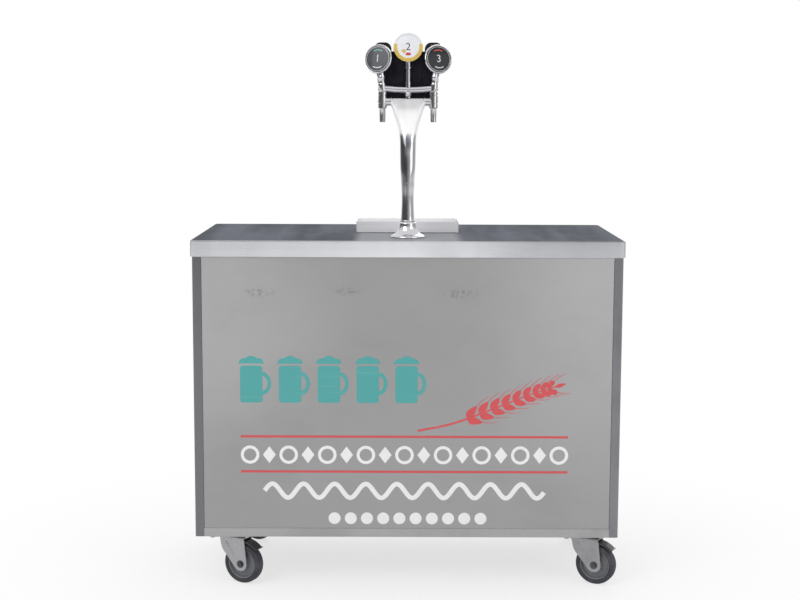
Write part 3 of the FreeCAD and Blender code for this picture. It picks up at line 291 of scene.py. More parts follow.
def counter_steel(name, base, edge):
    """The counter: its polished top painted dark for the room that it mirrors and streaked, with a painted pale
    reflection of the drip tray before the foot, and its edge bright, with a painted highlight at its middle and
    painted shade toward its right end.
    """
    paint = Paint(name)
    normal = paint.add("ShaderNodeNewGeometry", {}, {}, "Normal")
    upward = paint.step(paint.add("ShaderNodeSeparateXYZ", {}, {0: normal}, 2), 0.55, 0.95)
    bands = paint.patches((9.0, 0.9, 1), 3, 0.5, 0.38, 0.66)
    grain = paint.noise((1.4, 260, 260), 3, 0.6)
    cloud = paint.patches(7, 5, 0.65, 0.45, 0.75)
    # painted reflection of the drip tray on the top: as wide as the tray, and from before it to the customer's edge
    wear_and_sheen = (1 - paint.step(abs(paint.axis(0)), 0.125, 0.16)) * (1 - paint.step(paint.axis(1), -0.05, -0.006))
    top = paint.mix(bands * 0.8, shade(base, 1.25), shade(base, 0.70))
    top = paint.mix(cloud * 0.35, top, shade(base, 1.7))
    top = paint.mix(wear_and_sheen * 0.55, top, shade(edge, 0.8))
    # painted highlight: the edge lighter about the middle of its front
    painted_edge_highlight = paint.spot((-0.06, -0.3, 0.957), (0.42, 0.2, 0.2))
    side = paint.mix(grain, shade(edge, 0.88), shade(edge, 1.02))
    side = paint.mix(painted_edge_highlight * 0.8, side, shade(edge, 1.24))
    # painted shade: the edge darker toward its right end
    side = paint.mix(paint.step(paint.axis(0), 0.16, 0.46) * 0.5, side, shade(edge, 0.60))
    # painted reflection: the up-facing top takes a dark colour for the room that the polished sheet mirrors, the
    # edge keeps bright steel
    hue = paint.mix(upward, side, top)
    return paint.finish(hue, grain * 0.05 + cloud * 0.06 + bands * 0.04 + 0.11, 0.95 - upward * 0.77,
                        grain, 0.00004, {"Specular Tint": (0.03, 0.034, 0.045, 1), "Specular IOR Level": 0.0})


def chrome_plate(name, base, rough=0.07, hood=False):
    """Plating with faint polishing swirls and finger marks; on the hood, painted reflection darkens the column's
    left half, a painted highlight turns the upper hood near white and a painted shadow darkens the throat under it.
    """
    paint = Paint(name)
    swirl = paint.noise((60, 60, 9), 3, 0.55)
    touch = paint.patches(38, 4, 0.6, 0.52, 0.70)
    haze = paint.patches(11, 3, 0.5, 0.42, 0.7)
    wear_and_sheen = touch * 0.10 + swirl * 0.05 + haze * 0.05 + rough
    if not hood:
        hue = paint.mix(touch * 0.35 + haze * 0.15, base, shade(base, 0.72))
        return paint.finish(hue, wear_and_sheen, 1.0, swirl, 0.00004)
    # painted highlight: the upper hood near white, and rougher and less metallic, from this height up
    highlit_hood = paint.step(paint.axis(2), 1.262, 1.276)       # from this height over the floor up
    # painted reflection: the column's left half darker, lighter from its middle to the right
    lit_right_half = paint.step(paint.axis(0), -0.009, 0.001)  # from the column's middle to the right
    # painted shadow under the hood's lower rim
    crease_shadow = paint.spot((-0.003, -0.186, 1.246), (0.022, 0.05, 0.034))
    hue = paint.mix(lit_right_half, shade(base, 0.60), shade(base, 1.12))
    hue = paint.mix(touch * 0.3 + haze * 0.15, hue, shade(base, 0.60))
    hue = paint.mix(highlit_hood * 0.85, hue, (0.98, 0.98, 0.98))
    hue = paint.mix(crease_shadow * 0.85, hue, (0.10, 0.105, 0.125))
    return paint.finish(hue, wear_and_sheen + highlit_hood * 0.22, 1 - highlit_hood * 0.72, swirl, 0.00004)


def gloss_plastic(name, base, rough=0.16, coat=0.25):
    """Moulded gloss plastic: a trace of orange peel, hairline scuffs and dulled patches."""
    paint = Paint(name)
    peel = paint.noise(420, 2, 0.5)
    scuff = paint.patches((520, 30, 18), 3, 0.6, 0.60, 0.72)
    dull = paint.patches(24, 4, 0.6, 0.45, 0.7)
    hue = paint.mix(scuff * 0.35 + dull * 0.12, base, shade(tuple(part + 0.02 for part in base), 1.9))
    return paint.finish(hue, scuff * 0.2 + dull * 0.12 + rough, 0.0, peel, 0.00005,
                        {"Coat Weight": coat, "Specular IOR Level": 2 * coat})


def rubber(name, base, scale=650, depth=0.00018, rough=0.72):
    """Matt rubber or foam with fine pores and dust in its hollows."""
    paint = Paint(name)
    pores = paint.noise(scale, 3, 0.6)
    dust = paint.patches(30, 5, 0.65, 0.44, 0.74)
    hue = paint.mix(dust * 0.5, base, shade(tuple(part + 0.03 for part in base), 1.7))
    return paint.finish(hue, pores * 0.15 + dust * 0.1 + (rough - 0.1), 0.0, pores, depth)


def moulded(name, base, rough=0.5):
    """Rotationally moulded plastic: pebbled skin, a little yellowing, scuffs."""
    paint = Paint(name)
    pebble = paint.noise(300, 2, 0.5)
    age = paint.noise(3, 3, 0.5)
    scuff = paint.patches((12, 12, 90), 4, 0.65, 0.58, 0.72)
    hue = paint.mix(age * 0.35, base, tuple(part * tint for part, tint in zip(base, (0.97, 0.93, 0.82))))
    hue = paint.mix(scuff * 0.25, hue, shade(base, 0.6))
    return paint.finish(hue, pebble * 0.12 + scuff * 0.12 + (rough - 0.06), 0.0, pebble, 0.00022)


def cast_metal(name, base, rough=0.42, scale=210, depth=0.0003):
    """Sand-cast or machined metal with a grainy skin and darker tarnish."""
    paint = Paint(name)
    grit = paint.noise(scale, 4, 0.6)
    stain = paint.patches(14, 4, 0.6, 0.45, 0.72)
    hue = paint.mix(grit * 0.5, shade(base, 0.85), shade(base, 1.12))
    hue = paint.mix(stain * 0.4, hue, shade(base, 0.55))
    return paint.finish(hue, grit * 0.15 + stain * 0.15 + (rough - 0.08), 1.0, grit, depth)


def plywood(name):
    """Birch ply: long grain on the faces and thin dark glue lines round the edge."""
    paint = Paint(name)
    grain = paint.noise((3, 60, 60), 5, 0.65)
    layers = paint.add("ShaderNodeTexWave", {"wave_type": "BANDS", "bands_direction": "Z"},
                       {"Vector": paint.place, "Scale": 110, "Distortion": 1.2}, 1)
    hue = paint.mix(grain, (0.50, 0.34, 0.18), (0.70, 0.53, 0.33))
    hue = paint.mix(paint.step(layers, 0.7, 0.95) * 0.6, hue, (0.22, 0.13, 0.06))
    return paint.finish(hue, grain * 0.2 + 0.5, 0.0, grain, 0.0003)


def cut_film(name, base):
    """Cut colour film, a little faded and scratched by wiping."""
    paint = Paint(name)
    faded = paint.noise((8, 8, 14), 4, 0.6)
    wiped = paint.patches((6, 300, 260), 3, 0.6, 0.60, 0.76)
    hue = paint.mix(faded * 0.4, shade(base, 0.93), shade(base, 1.1))
    hue = paint.mix(wiped * 0.3, hue, tuple(part * 0.5 + 0.3 for part in base))
    return paint.finish(hue, wiped * 0.15 + faded * 0.1 + 0.38, 0.0, faded, 0.00002)


FINISHES = {}


def mix_finishes():
    """Every finish of the bar, by the name that the pieces use."""
    tone = {name: tuple(getattr(colours(), name)) for name in BarColours.__annotations__}
    FINISHES.update({
        "front": panel_steel("front_sheet_steel", tone["panel"]),
        "sheet_x": brushed_steel("sheet_steel_across", tone["panel"], "X"),
        "sheet_z": brushed_steel("sheet_steel_upright", tone["panel"], "Z"),
        "tray": brushed_steel("tray_steel", tone["tray"], "X", 0.3, 0.25, grime=0.12),
        # the posts take painted shade toward the left
        "post": brushed_steel("post_tube_steel", tone["post"], "Z", 0.24, grime=0.35, shaded_left=True),
        "rail": brushed_steel("rail_tube_steel", shade(tone["panel"], 0.96), "X", 0.24, grime=0.2),
        "backplate": gloss_plastic("backplate_lacquer", (0.004, 0.004, 0.008), 0.35, 0.06),
        "counter": counter_steel("counter_steel", tone["counter"], tone["counter_fold"]),
        "chrome": chrome_plate("chrome_plate", tone["chrome"]),
        "hood": chrome_plate("hood_plate", tone["chrome"], hood=True),
        "zinc": brushed_steel("zinc_plated_steel", (0.40, 0.40, 0.41), "Z", 0.36, grime=0.5),
        "zinc_dark": cast_metal("dark_zinc", (0.13, 0.13, 0.14), 0.4),
        "grip": gloss_plastic("grip_plastic", tone["grip"]),
        "face_left": gloss_plastic("left_face_lacquer", tone["face_left"], 0.2, 0.14),
        "face_centre": gloss_plastic("centre_face_lacquer", tone["face_centre"], 0.2),
        "face_right": gloss_plastic("right_face_lacquer", tone["face_right"], 0.2, 0.12),
        "face_gold": gloss_plastic("gold_ring_lacquer", tone["gold"], 0.22),
        "face_mark": gloss_plastic("pale_mark_lacquer", (0.55, 0.56, 0.58), 0.25),
        "face_red": gloss_plastic("red_mark_lacquer", (0.55, 0.05, 0.05), 0.25),
        "face_teal": gloss_plastic("teal_mark_lacquer", (0.07, 0.36, 0.35), 0.25),
        "teal": cut_film("teal_film", tone["teal"]),
        "red": cut_film("red_film", tone["red"]),
        "white": cut_film("white_film", tone["white"]),
        "tyre": rubber("tyre_rubber", tone["tyre"]),
        "core": moulded("wheel_core_plastic", tone["core"], 0.45),
        "pedal": gloss_plastic("pedal_plastic", (0.016, 0.016, 0.018), 0.32),
        "sleeve": rubber("foam_sleeve", (0.02, 0.02, 0.022), 240, 0.0006, 0.85),
        "tub": moulded("tub_plastic", (0.72, 0.73, 0.74)),
        "cast": cast_metal("cast_aluminium", (0.50, 0.51, 0.53)),
        "brass": cast_metal("machined_brass", (0.55, 0.37, 0.13), 0.28, 120, 0.00005),
        "lever": gloss_plastic("dipped_lever", (0.42, 0.03, 0.02), 0.3),
        "catch": moulded("catch_plastic", (0.70, 0.70, 0.68)),
        "board": plywood("core_board_ply"),
    })


# ---------------------------------------------------------------- shapes

def bridge(bm, low, high):
    """Faces between two rings of vertices, either of which may be a single pole."""
    count = max(len(low), len(high))
    if count < 2:
        return
    for index in range(count):
        after = (index + 1) % count
        corners = [low[index % len(low)], low[after % len(low)], high[after % len(high)], high[index % len(high)]]
        bm.faces.new(list(dict.fromkeys(corners)))


def rounded(points, radius, closed=False, steps=4):
    """A line of 2-D points with its corners rounded, each by no more than its sides allow."""
    points = [Vector(point) for point in points]
    made = []
    for index, point in enumerate(points):
        if not closed and index in (0, len(points) - 1):
            made.append(point)
            continue
        before, after = points[index - 1], points[(index + 1) % len(points)]
        reach = min(radius, (before - point).length / 2.01, (after - point).length / 2.01)
        start = point + (before - point).normalized() * reach
        end = point + (after - point).normalized() * reach
        for share in (number / steps for number in range(steps + 1)):
            made.append(start * (1 - share) ** 2 + point * 2 * share * (1 - share) + end * share ** 2)
    return made


def rectangle(left, low, right, high, ease=0.0, steps=4):
    corners = [(left, low), (right, low), (right, high), (left, high)]
    return rounded(corners, ease, closed=True, steps=steps) if ease else corners


def arc(x, y, radius, start, end, steps, tall=None):
    """Points along an arc between two angles in degrees, or along an ellipse's where its height differs."""
    turns = [math.radians(start + (end - start) * step / steps) for step in range(steps + 1)]
    return [(x + radius * math.cos(turn), y + (tall or radius) * math.sin(turn)) for turn in turns]


def hexagon(radius, ease):
    return rounded(arc(0, 0, radius, 0, 300, 5), ease, closed=True)


def mirrored(profile):
    """A turned shape's profile, and its mirror image above the height of 0."""
    return profile + [(radius, -height) for radius, height in profile[::-1]]


def spaced(low, high, count):
    """The middles of equal shares of a length."""
    return [low + (high - low) * (number + 0.5) / count for number in range(count)]


def flow(points, steps):
    """Points of a smooth line through the given ones."""
    points = [Vector(point) for point in points]
    line = [points[0] * 2 - points[1], *points, points[-1] * 2 - points[-2]]
    made = []
    for index in range(1, len(line) - 2):
        a, b, c, d = line[index - 1:index + 3]
        for t in (number / steps for number in range(steps)):
            made.append((b * 2 + (c - a) * t + (a * 2 - b * 5 + c * 4 - d) * t * t
                         + (b * 3 - a - c * 3 + d) * t ** 3) / 2)
    return made + [points[-1]]


def lathe(profile, steps=64, ease=0.0, closed=False):
    """A turned shape about Z from (radius, height) points in millimetres.

    An open profile is closed by the poles at its ends, and a closed one doesn't meet the axis, as on a wheel.
    """
    bm = bmesh.new()
    rings = []
    for radius, height in rounded(profile, ease, closed) if ease else profile:
        turns = [2 * math.pi * index / steps for index in range(steps if radius else 1)]
        rings.append([bm.verts.new((radius * MM * math.cos(turn), radius * MM * math.sin(turn), height * MM))
                      for turn in turns])
    for low, high in zip(rings, rings[1:] + rings[:1] if closed else rings[1:]):
        bridge(bm, low, high)
    bmesh.ops.recalc_face_normals(bm, faces=bm.faces)
    return bm


def rod(radius, start, end, steps):
    return lathe([(0, start), (radius, start), (radius, end), (0, end)], steps)


def loft(rings):
    """A closed skin through rings of points in metres, with flat ends."""
    bm = bmesh.new()
    made = [[bm.verts.new(point) for point in ring] for ring in rings]
    for low, high in zip(made, made[1:]):
        bridge(bm, low, high)
    bm.faces.new(made[0][::-1])
    bm.faces.new(made[-1])
    bmesh.ops.recalc_face_normals(bm, faces=bm.faces)
    return bm


def tube(path, radius, sides=24, section=None):
    """A bar along a path in millimetres: round, or with a section of (across, out) points."""
    path = [Vector(point) * MM for point in path]
    radii = radius if isinstance(radius, list) else [radius] * len(path)
    corners = section or [(math.cos(2 * math.pi * step / sides), math.sin(2 * math.pi * step / sides))
                          for step in range(sides)]
    rings = []
    across = None
    for index, point in enumerate(path):
        ahead = path[min(index + 1, len(path) - 1)] - path[max(index - 1, 0)]
        ahead.normalize()
        if across is None:
            across = ahead.cross(X if abs(ahead.dot(X)) < 0.9 else Y).normalized()
        across = (across - ahead * across.dot(ahead)).normalized()
        out = ahead.cross(across)
        scale = MM if section else radii[index] * MM
        rings.append([point + across * (a * scale) + out * (b * scale) for a, b in corners])
    return loft(rings)


def round_edges(bm, edges, width, segments=2):
    """Round edges by a width in metres."""
    bmesh.ops.bevel(bm, geom=edges, offset=width, segments=segments, affect="EDGES", clamp_overlap=True)
    return bm


def sharp_edges(bm):
    return [edge for edge in bm.edges if len(edge.link_faces) == 2 and edge.calc_face_angle() > SHARP]


def raised(bm, height):
    """Pull a flat or curved sheet of faces along Z, which makes it a closed plate."""
    pulled = bmesh.ops.extrude_face_region(bm, geom=bm.faces[:])
    bmesh.ops.translate(bm, vec=(0, 0, height * MM),
                        verts=[part for part in pulled["geom"] if isinstance(part, bmesh.types.BMVert)])
    bmesh.ops.recalc_face_normals(bm, faces=bm.faces)
    return bm


def slab(outline, depth, bevel=0.0, segments=2):
    """A plate of a 2-D outline in millimetres, from Z 0 up to its depth, with rounded edges."""
    bm = bmesh.new()
    face = bm.faces.new([bm.verts.new((x * MM, y * MM, 0)) for x, y in outline])
    bmesh.ops.recalc_face_normals(bm, faces=[face])
    raised(bm, depth)
    if bevel:
        level = [edge for edge in bm.edges if abs(edge.verts[0].co.z - edge.verts[1].co.z) < 1e-7]
        round_edges(bm, level, bevel * MM, segments)
    return bm


def block(low, high, bevel, segments=2):
    """A box between two corners in millimetres, with rounded edges."""
    low, high = Vector(low) * MM, Vector(high) * MM
    bm = bmesh.new()
    bmesh.ops.create_cube(bm, size=1)
    moved(bm, Matrix.Translation((low + high) / 2) @ Matrix.Diagonal((*(high - low), 1)))
    return round_edges(bm, bm.edges[:], bevel * MM, segments)


def softened(node, width, segments=2, fold=0.0, is_fold=None):
    """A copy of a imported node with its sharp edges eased, and its folds rounded by a larger radius."""
    bm = bmesh.new()
    bm.from_mesh(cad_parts[node].data)
    bmesh.ops.remove_doubles(bm, verts=bm.verts, dist=2e-6)
    bmesh.ops.dissolve_limit(bm, angle_limit=0.01, verts=bm.verts, edges=bm.edges)
    if fold:
        round_edges(bm, [edge for edge in bm.edges if is_fold(edge)], fold, 4)
    return round_edges(bm, sharp_edges(bm), width, segments)


def moved(bm, matrix):
    bmesh.ops.transform(bm, matrix=matrix, verts=bm.verts)
    return bm


def at(x, y, z):
    return Matrix.Translation(Vector((x, y, z)) * MM)


def turned(degrees, axis):
    return Matrix.Rotation(math.radians(degrees), 4, axis)


# ---------------------------------------------------------------- pieces

def placed(name, data):
    """A new object in the scene."""
    made = bpy.data.objects.new(name, data)
    bpy.context.scene.collection.objects.link(made)
    return made


def evaluated(made):
    """The plain mesh that an object with modifiers, or a text, comes to."""
    bpy.context.view_layer.update()
    return bpy.data.meshes.new_from_object(made.evaluated_get(bpy.context.evaluated_depsgraph_get()))


def settle(made, body, stands_for=()):
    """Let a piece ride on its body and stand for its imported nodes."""
    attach(made, body)
    if stands_for:
        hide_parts(*stands_for)
    return made


def weigh_normals(mesh, limit):
    """Shade each corner by the faces round it, the large ones most, so that flat faces look flat beside a bevel."""
    faces = [(polygon.normal.copy(), polygon.area) for polygon in mesh.polygons]
    around = [[] for vertex in mesh.vertices]
    for polygon in mesh.polygons:
        for vertex in polygon.vertices:
            around[vertex].append(polygon.index)
    least = math.cos(limit)
    normals = []
    for polygon in mesh.polygons:
        own = faces[polygon.index][0]
        for vertex in polygon.vertices:
            total = Vector()
            for normal, area in (faces[other] for other in around[vertex]):
                if normal.dot(own) > least:
                    total += normal * area
            normals.append(total.normalized() if total.length else own)
    mesh.normals_split_custom_set(normals)


def piece(name, shapes, body, stands_for=(), smooth=32, place=None):
    """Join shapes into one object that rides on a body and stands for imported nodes.

    Each shape comes with its finish, and with its own place where it isn't built there. The whole may then be
    laid in a place too.
    """
    whole = bmesh.new()
    finishes = []
    for shape, finish, *own in shapes:
        if finish not in finishes:
            finishes.append(finish)
        for matrix in own:
            moved(shape, matrix)
        start = len(whole.faces)
        part = bpy.data.meshes.new("part")
        shape.to_mesh(part)
        shape.free()
        whole.from_mesh(part)
        bpy.data.meshes.remove(part)
        for face in whole.faces[start:]:
            face.material_index = finishes.index(finish)
            face.smooth = True
    if place:
        moved(whole, place)
    mesh = bpy.data.meshes.new(name)
    whole.to_mesh(mesh)
    whole.free()
    mesh.set_sharp_from_angle(angle=math.radians(smooth))
    weigh_normals(mesh, math.radians(smooth))
    for finish in finishes:
        mesh.materials.append(FINISHES[finish])
    return settle(placed(name, mesh), body, stands_for)


def eased(node, name, finish, width, body="bar", segments=2):
    """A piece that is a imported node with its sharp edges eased."""
    return piece(name, [(softened(node, width, segments), finish)], body, [node])


def dress(node, finish):
    """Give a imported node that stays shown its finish."""
    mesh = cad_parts[node].data
    mesh.materials.clear()
    mesh.materials.append(FINISHES[finish])


def stud_tree():
    """A node tree that sets a headed stud on every point: a washer under a round or many-sided head."""
    tree = bpy.data.node_groups.new("studs_on_points", "GeometryNodeTree")
    tree.is_modifier = True
    inputs = (("Geometry", "Geometry"), ("Head radius", "Float"), ("Head height", "Float"), ("Head sides", "Int"),
              ("Washer radius", "Float"), ("Washer height", "Float"), ("Turn", "Rotation"), ("Finish", "Material"))
    for name, kind in inputs:
        tree.interface.new_socket(name, in_out="INPUT", socket_type="NodeSocket" + kind)
    tree.interface.new_socket("Geometry", in_out="OUTPUT", socket_type="NodeSocketGeometry")
    new, link = tree.nodes.new, tree.links.new
    given, result = new("NodeGroupInput").outputs, new("NodeGroupOutput")

    def give(value, socket):
        """Link a named input of the tree to a socket, or set the socket's number."""
        if isinstance(value, str):
            link(given[value], socket)
        else:
            socket.default_value = value

    def drum(radius, height, sides, lift):
        """A cylinder that stands on a lift."""
        made = new("GeometryNodeMeshCylinder")
        for value, name in ((radius, "Radius"), (height, "Depth"), (sides, "Vertices")):
            give(value, made.inputs[name])
        half = new("ShaderNodeMath")
        half.operation = "MULTIPLY_ADD"
        for index, value in enumerate((height, 0.5, lift)):
            give(value, half.inputs[index])
        along = new("ShaderNodeCombineXYZ")
        link(half.outputs[0], along.inputs["Z"])
        shift = new("GeometryNodeTransform")
        link(made.outputs["Mesh"], shift.inputs["Geometry"])
        link(along.outputs[0], shift.inputs["Translation"])
        return shift.outputs["Geometry"]

    join, spread = new("GeometryNodeJoinGeometry"), new("GeometryNodeInstanceOnPoints")
    real, coat = new("GeometryNodeRealizeInstances"), new("GeometryNodeSetMaterial")
    link(drum("Washer radius", "Washer height", 28, 0.0), join.inputs[0])
    link(drum("Head radius", "Head height", "Head sides", "Washer height"), join.inputs[0])
    give("Geometry", spread.inputs["Points"])
    link(join.outputs[0], spread.inputs["Instance"])
    give("Turn", spread.inputs["Rotation"])
    link(spread.outputs[0], real.inputs[0])
    link(real.outputs[0], coat.inputs["Geometry"])
    give("Finish", coat.inputs["Material"])
    link(coat.outputs[0], result.inputs[0])
    return tree


def studs(name, places, body, finish, head, washer, sides=6, turn=(0, 0, 0)):
    """Studs of one size on a list of places: head and washer are (radius, height), all in millimetres."""
    tree = bpy.data.node_groups.get("studs_on_points") or stud_tree()
    mesh = bpy.data.meshes.new(name)
    mesh.from_pydata([Vector(place) * MM for place in places], [], [])
    made = placed(name, mesh)
    modifier = made.modifiers.new("studs", "NODES")
    modifier.node_group = tree
    given = {"Head radius": head[0] * MM, "Head height": head[1] * MM, "Head sides": sides,
             "Washer radius": washer[0] * MM, "Washer height": washer[1] * MM,
             "Turn": [math.radians(angle) for angle in turn], "Finish": FINISHES[finish]}
    for item in tree.interface.items_tree:
        if item.in_out == "INPUT" and item.name in given:
            modifier[item.identifier] = given[item.name]
    shown = evaluated(made)
    made.modifiers.clear()
    made.data = shown
    bm = bmesh.new()
    bm.from_mesh(shown)
    round_edges(bm, sharp_edges(bm), min(head[1], 1.2) * 0.22 * MM, 1)
    bm.to_mesh(shown)
    bm.free()
    return settle(made, body, ())


# ---------------------------------------------------------------- body of the bar

class BAR_OT_counter(bpy.types.Operator):
    """Build the counter's folded skin and its core board"""
    bl_idname = "bar.counter"
    bl_label = "Counter"

    corner = 9  # how far in from the sides a rounded corner's edges may lie

    def execute(self, context):
        outside = (ends("counter_skin")[1] - Vector((0.5, 0.5, 0.5))) * MM
        inside = outside - Vector((self.corner, self.corner, 0)) * MM

        def is_fold(edge):
            """Whether a sharp edge runs round the top face."""
            return edge.calc_face_angle(0) > SHARP and all(
                vert.co.z > outside.z and (abs(vert.co.x) > inside.x or abs(vert.co.y) > inside.y)
                for vert in edge.verts)

        skin = softened("counter_skin", sizes().edge, fold=sizes().fold, is_fold=is_fold)
        piece("counter_folded_skin", [(skin, "counter")], "bar", ["counter_skin"], 40)
        dress("counter_core", "board")
        return {"FINISHED"}


class BAR_OT_cabinet(bpy.types.Operator):
    """Build the welded frame, the sheets, the floor and the doors"""
    bl_idname = "bar.cabinet"
    bl_label = "Cabinet"

    columns, rows = 72, 48  # the front sheet's grid
    hinge_axis = 569.5      # the door hinges' distance from the middle
    knuckles, screws = 20, 8
    handle_bar = 8          # the door handles' thickness

    def execute(self, context):
        edge, tube_edge = sizes().edge, sizes().tube_edge
        eased("frame_posts", "corner_posts", "post", tube_edge)
        eased("frame_rails", "frame_rail_tubes", "rail", tube_edge)
        eased("floor_pan", "cabinet_floor", "sheet_x", edge)
        eased("side_panels", "side_sheets", "sheet_z", edge)
        eased("castor_bearers", "bearer_channels", "zinc", edge)
        self.front_sheet()
        low, high = ends("hinge_leaf_left")
        self.screw_heights = spaced(low.z, high.z, self.screws)
        for side, way in SIDES:
            door = f"door_{side}"
            eased(door, f"{door}_pan", "sheet_x", edge, body=door)
            self.handle(side, door)
            self.hinge(side, way, door)
            if side == "left":
                self.post_leaves()
        eased("magnet_catches", "catch_blocks", "catch", 0.0012)
        return {"FINISHED"}

    def front_sheet(self):
        """The front sheet, dished inwards a little between its edges."""
        low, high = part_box("front_panel")
        wide, tall, dish = high.x - low.x, high.z - low.z, sizes().dish
        bm = bmesh.new()
        rims = []
        for face in (low.y, high.y):
            grid = []
            for v in (row / self.rows for row in range(self.rows + 1)):
                grid.append([bm.verts.new((low.x + wide * u, face + self.slack(u, v) * dish, low.z + tall * v))
                             for u in (column / self.columns for column in range(self.columns + 1))])
            for line, above in zip(grid, grid[1:]):
                for column in range(self.columns):
                    bm.faces.new([line[column], line[column + 1], above[column + 1], above[column]])
            rims.append(grid[0][:-1] + [line[-1] for line in grid[:-1]] + grid[-1][:0:-1]
                        + [line[0] for line in grid[:0:-1]])
        bridge(bm, *rims)
        bmesh.ops.recalc_face_normals(bm, faces=bm.faces)
        piece("front_sheet", [(bm, "front")], "bar", ["front_panel"])

    def slack(self, u, v):
        """How far the sheet gives way at a share of its width and height: 0 at its edges, about 1 at most."""
        wave = (0.5 + 0.28 * math.sin(7.1 * u + 1.3) * math.cos(3.7 * v)
                + 0.22 * math.sin(12.3 * u * v + 2.1 * v + 0.4))
        return math.sin(math.pi * u) ** 0.5 * math.sin(math.pi * v) ** 0.5 * wave

    def handle(self, side, door):
        """A bowed flat bar that stands off the door on its two ends."""
        low, high = ends(f"door_handle_{side}")
        x, grip = (low.x + high.x) / 2, high.y - self.handle_bar / 2
        rises = ((low.y + 0.5, 5), (high.y - 11, 10.5), (grip, 22))
        path = [(x, y, low.z + rise) for y, rise in rises] + [(x, grip, (low.z + high.z) / 2)]
        path += [(x, y, high.z - rise) for y, rise in rises[::-1]]
        bow = tube(flow(path, 8), 1, section=rectangle(-6, -4, 6, 4, 3))
        piece(f"door_bow_handle_{side}", [(bow, "chrome")], door, [f"door_handle_{side}"], 50)

    def hinge(self, side, way, door):
        """A long hinge: leaf, knuckles with fine gaps, pin ends and screws."""
        low, high = ends(f"hinge_leaf_{side}")
        tall = high.z - low.z
        axis_x, axis_y = way * self.hinge_axis, high.y - 4
        inner = high.x if way < 0 else low.x
        shapes = [(block((min(inner, axis_x), low.y, low.z), (max(inner, axis_x), low.y + 1.5, high.z), 0.3),
                   "sheet_z")]
        pitch = tall / self.knuckles
        for number in range(self.knuckles):
            knuckle = lathe([(0, 0.3), (3.3, 0.3), (4, 1), (4, pitch - 1), (3.3, pitch - 0.3), (0, pitch - 0.3)], 24)
            shapes.append((knuckle, "sheet_z", at(axis_x, axis_y, low.z + number * pitch)))
        shapes.append((rod(2.2, 0, tall, 16), "zinc_dark", at(axis_x, axis_y, low.z)))
        piece(f"long_hinge_{side}", shapes, door, [f"hinge_leaf_{side}"])
        x = (inner + axis_x) / 2 - way * 2
        self.leaf_screws(f"hinge_screws_{side}", door, [(x, low.y + 1.4, z) for z in self.screw_heights])

    def post_leaves(self):
        """The hinges' fixed leaves on the two rear posts, and their screws."""
        eased("hinge_frame_leaves", "post_hinge_leaves", "sheet_z", FINE)
        low, high = ends("hinge_frame_leaves")
        self.leaf_screws("post_hinge_screws", "bar", [(way * (high.x - 7), low.y + 1.4, z)
                                                      for z in self.screw_heights for way in (-1, 1)])

    def leaf_screws(self, name, body, places):
        studs(name, places, body, "zinc", (2.4, 0.7), (3.2, 0.5), 12, (-90, 0, 0))


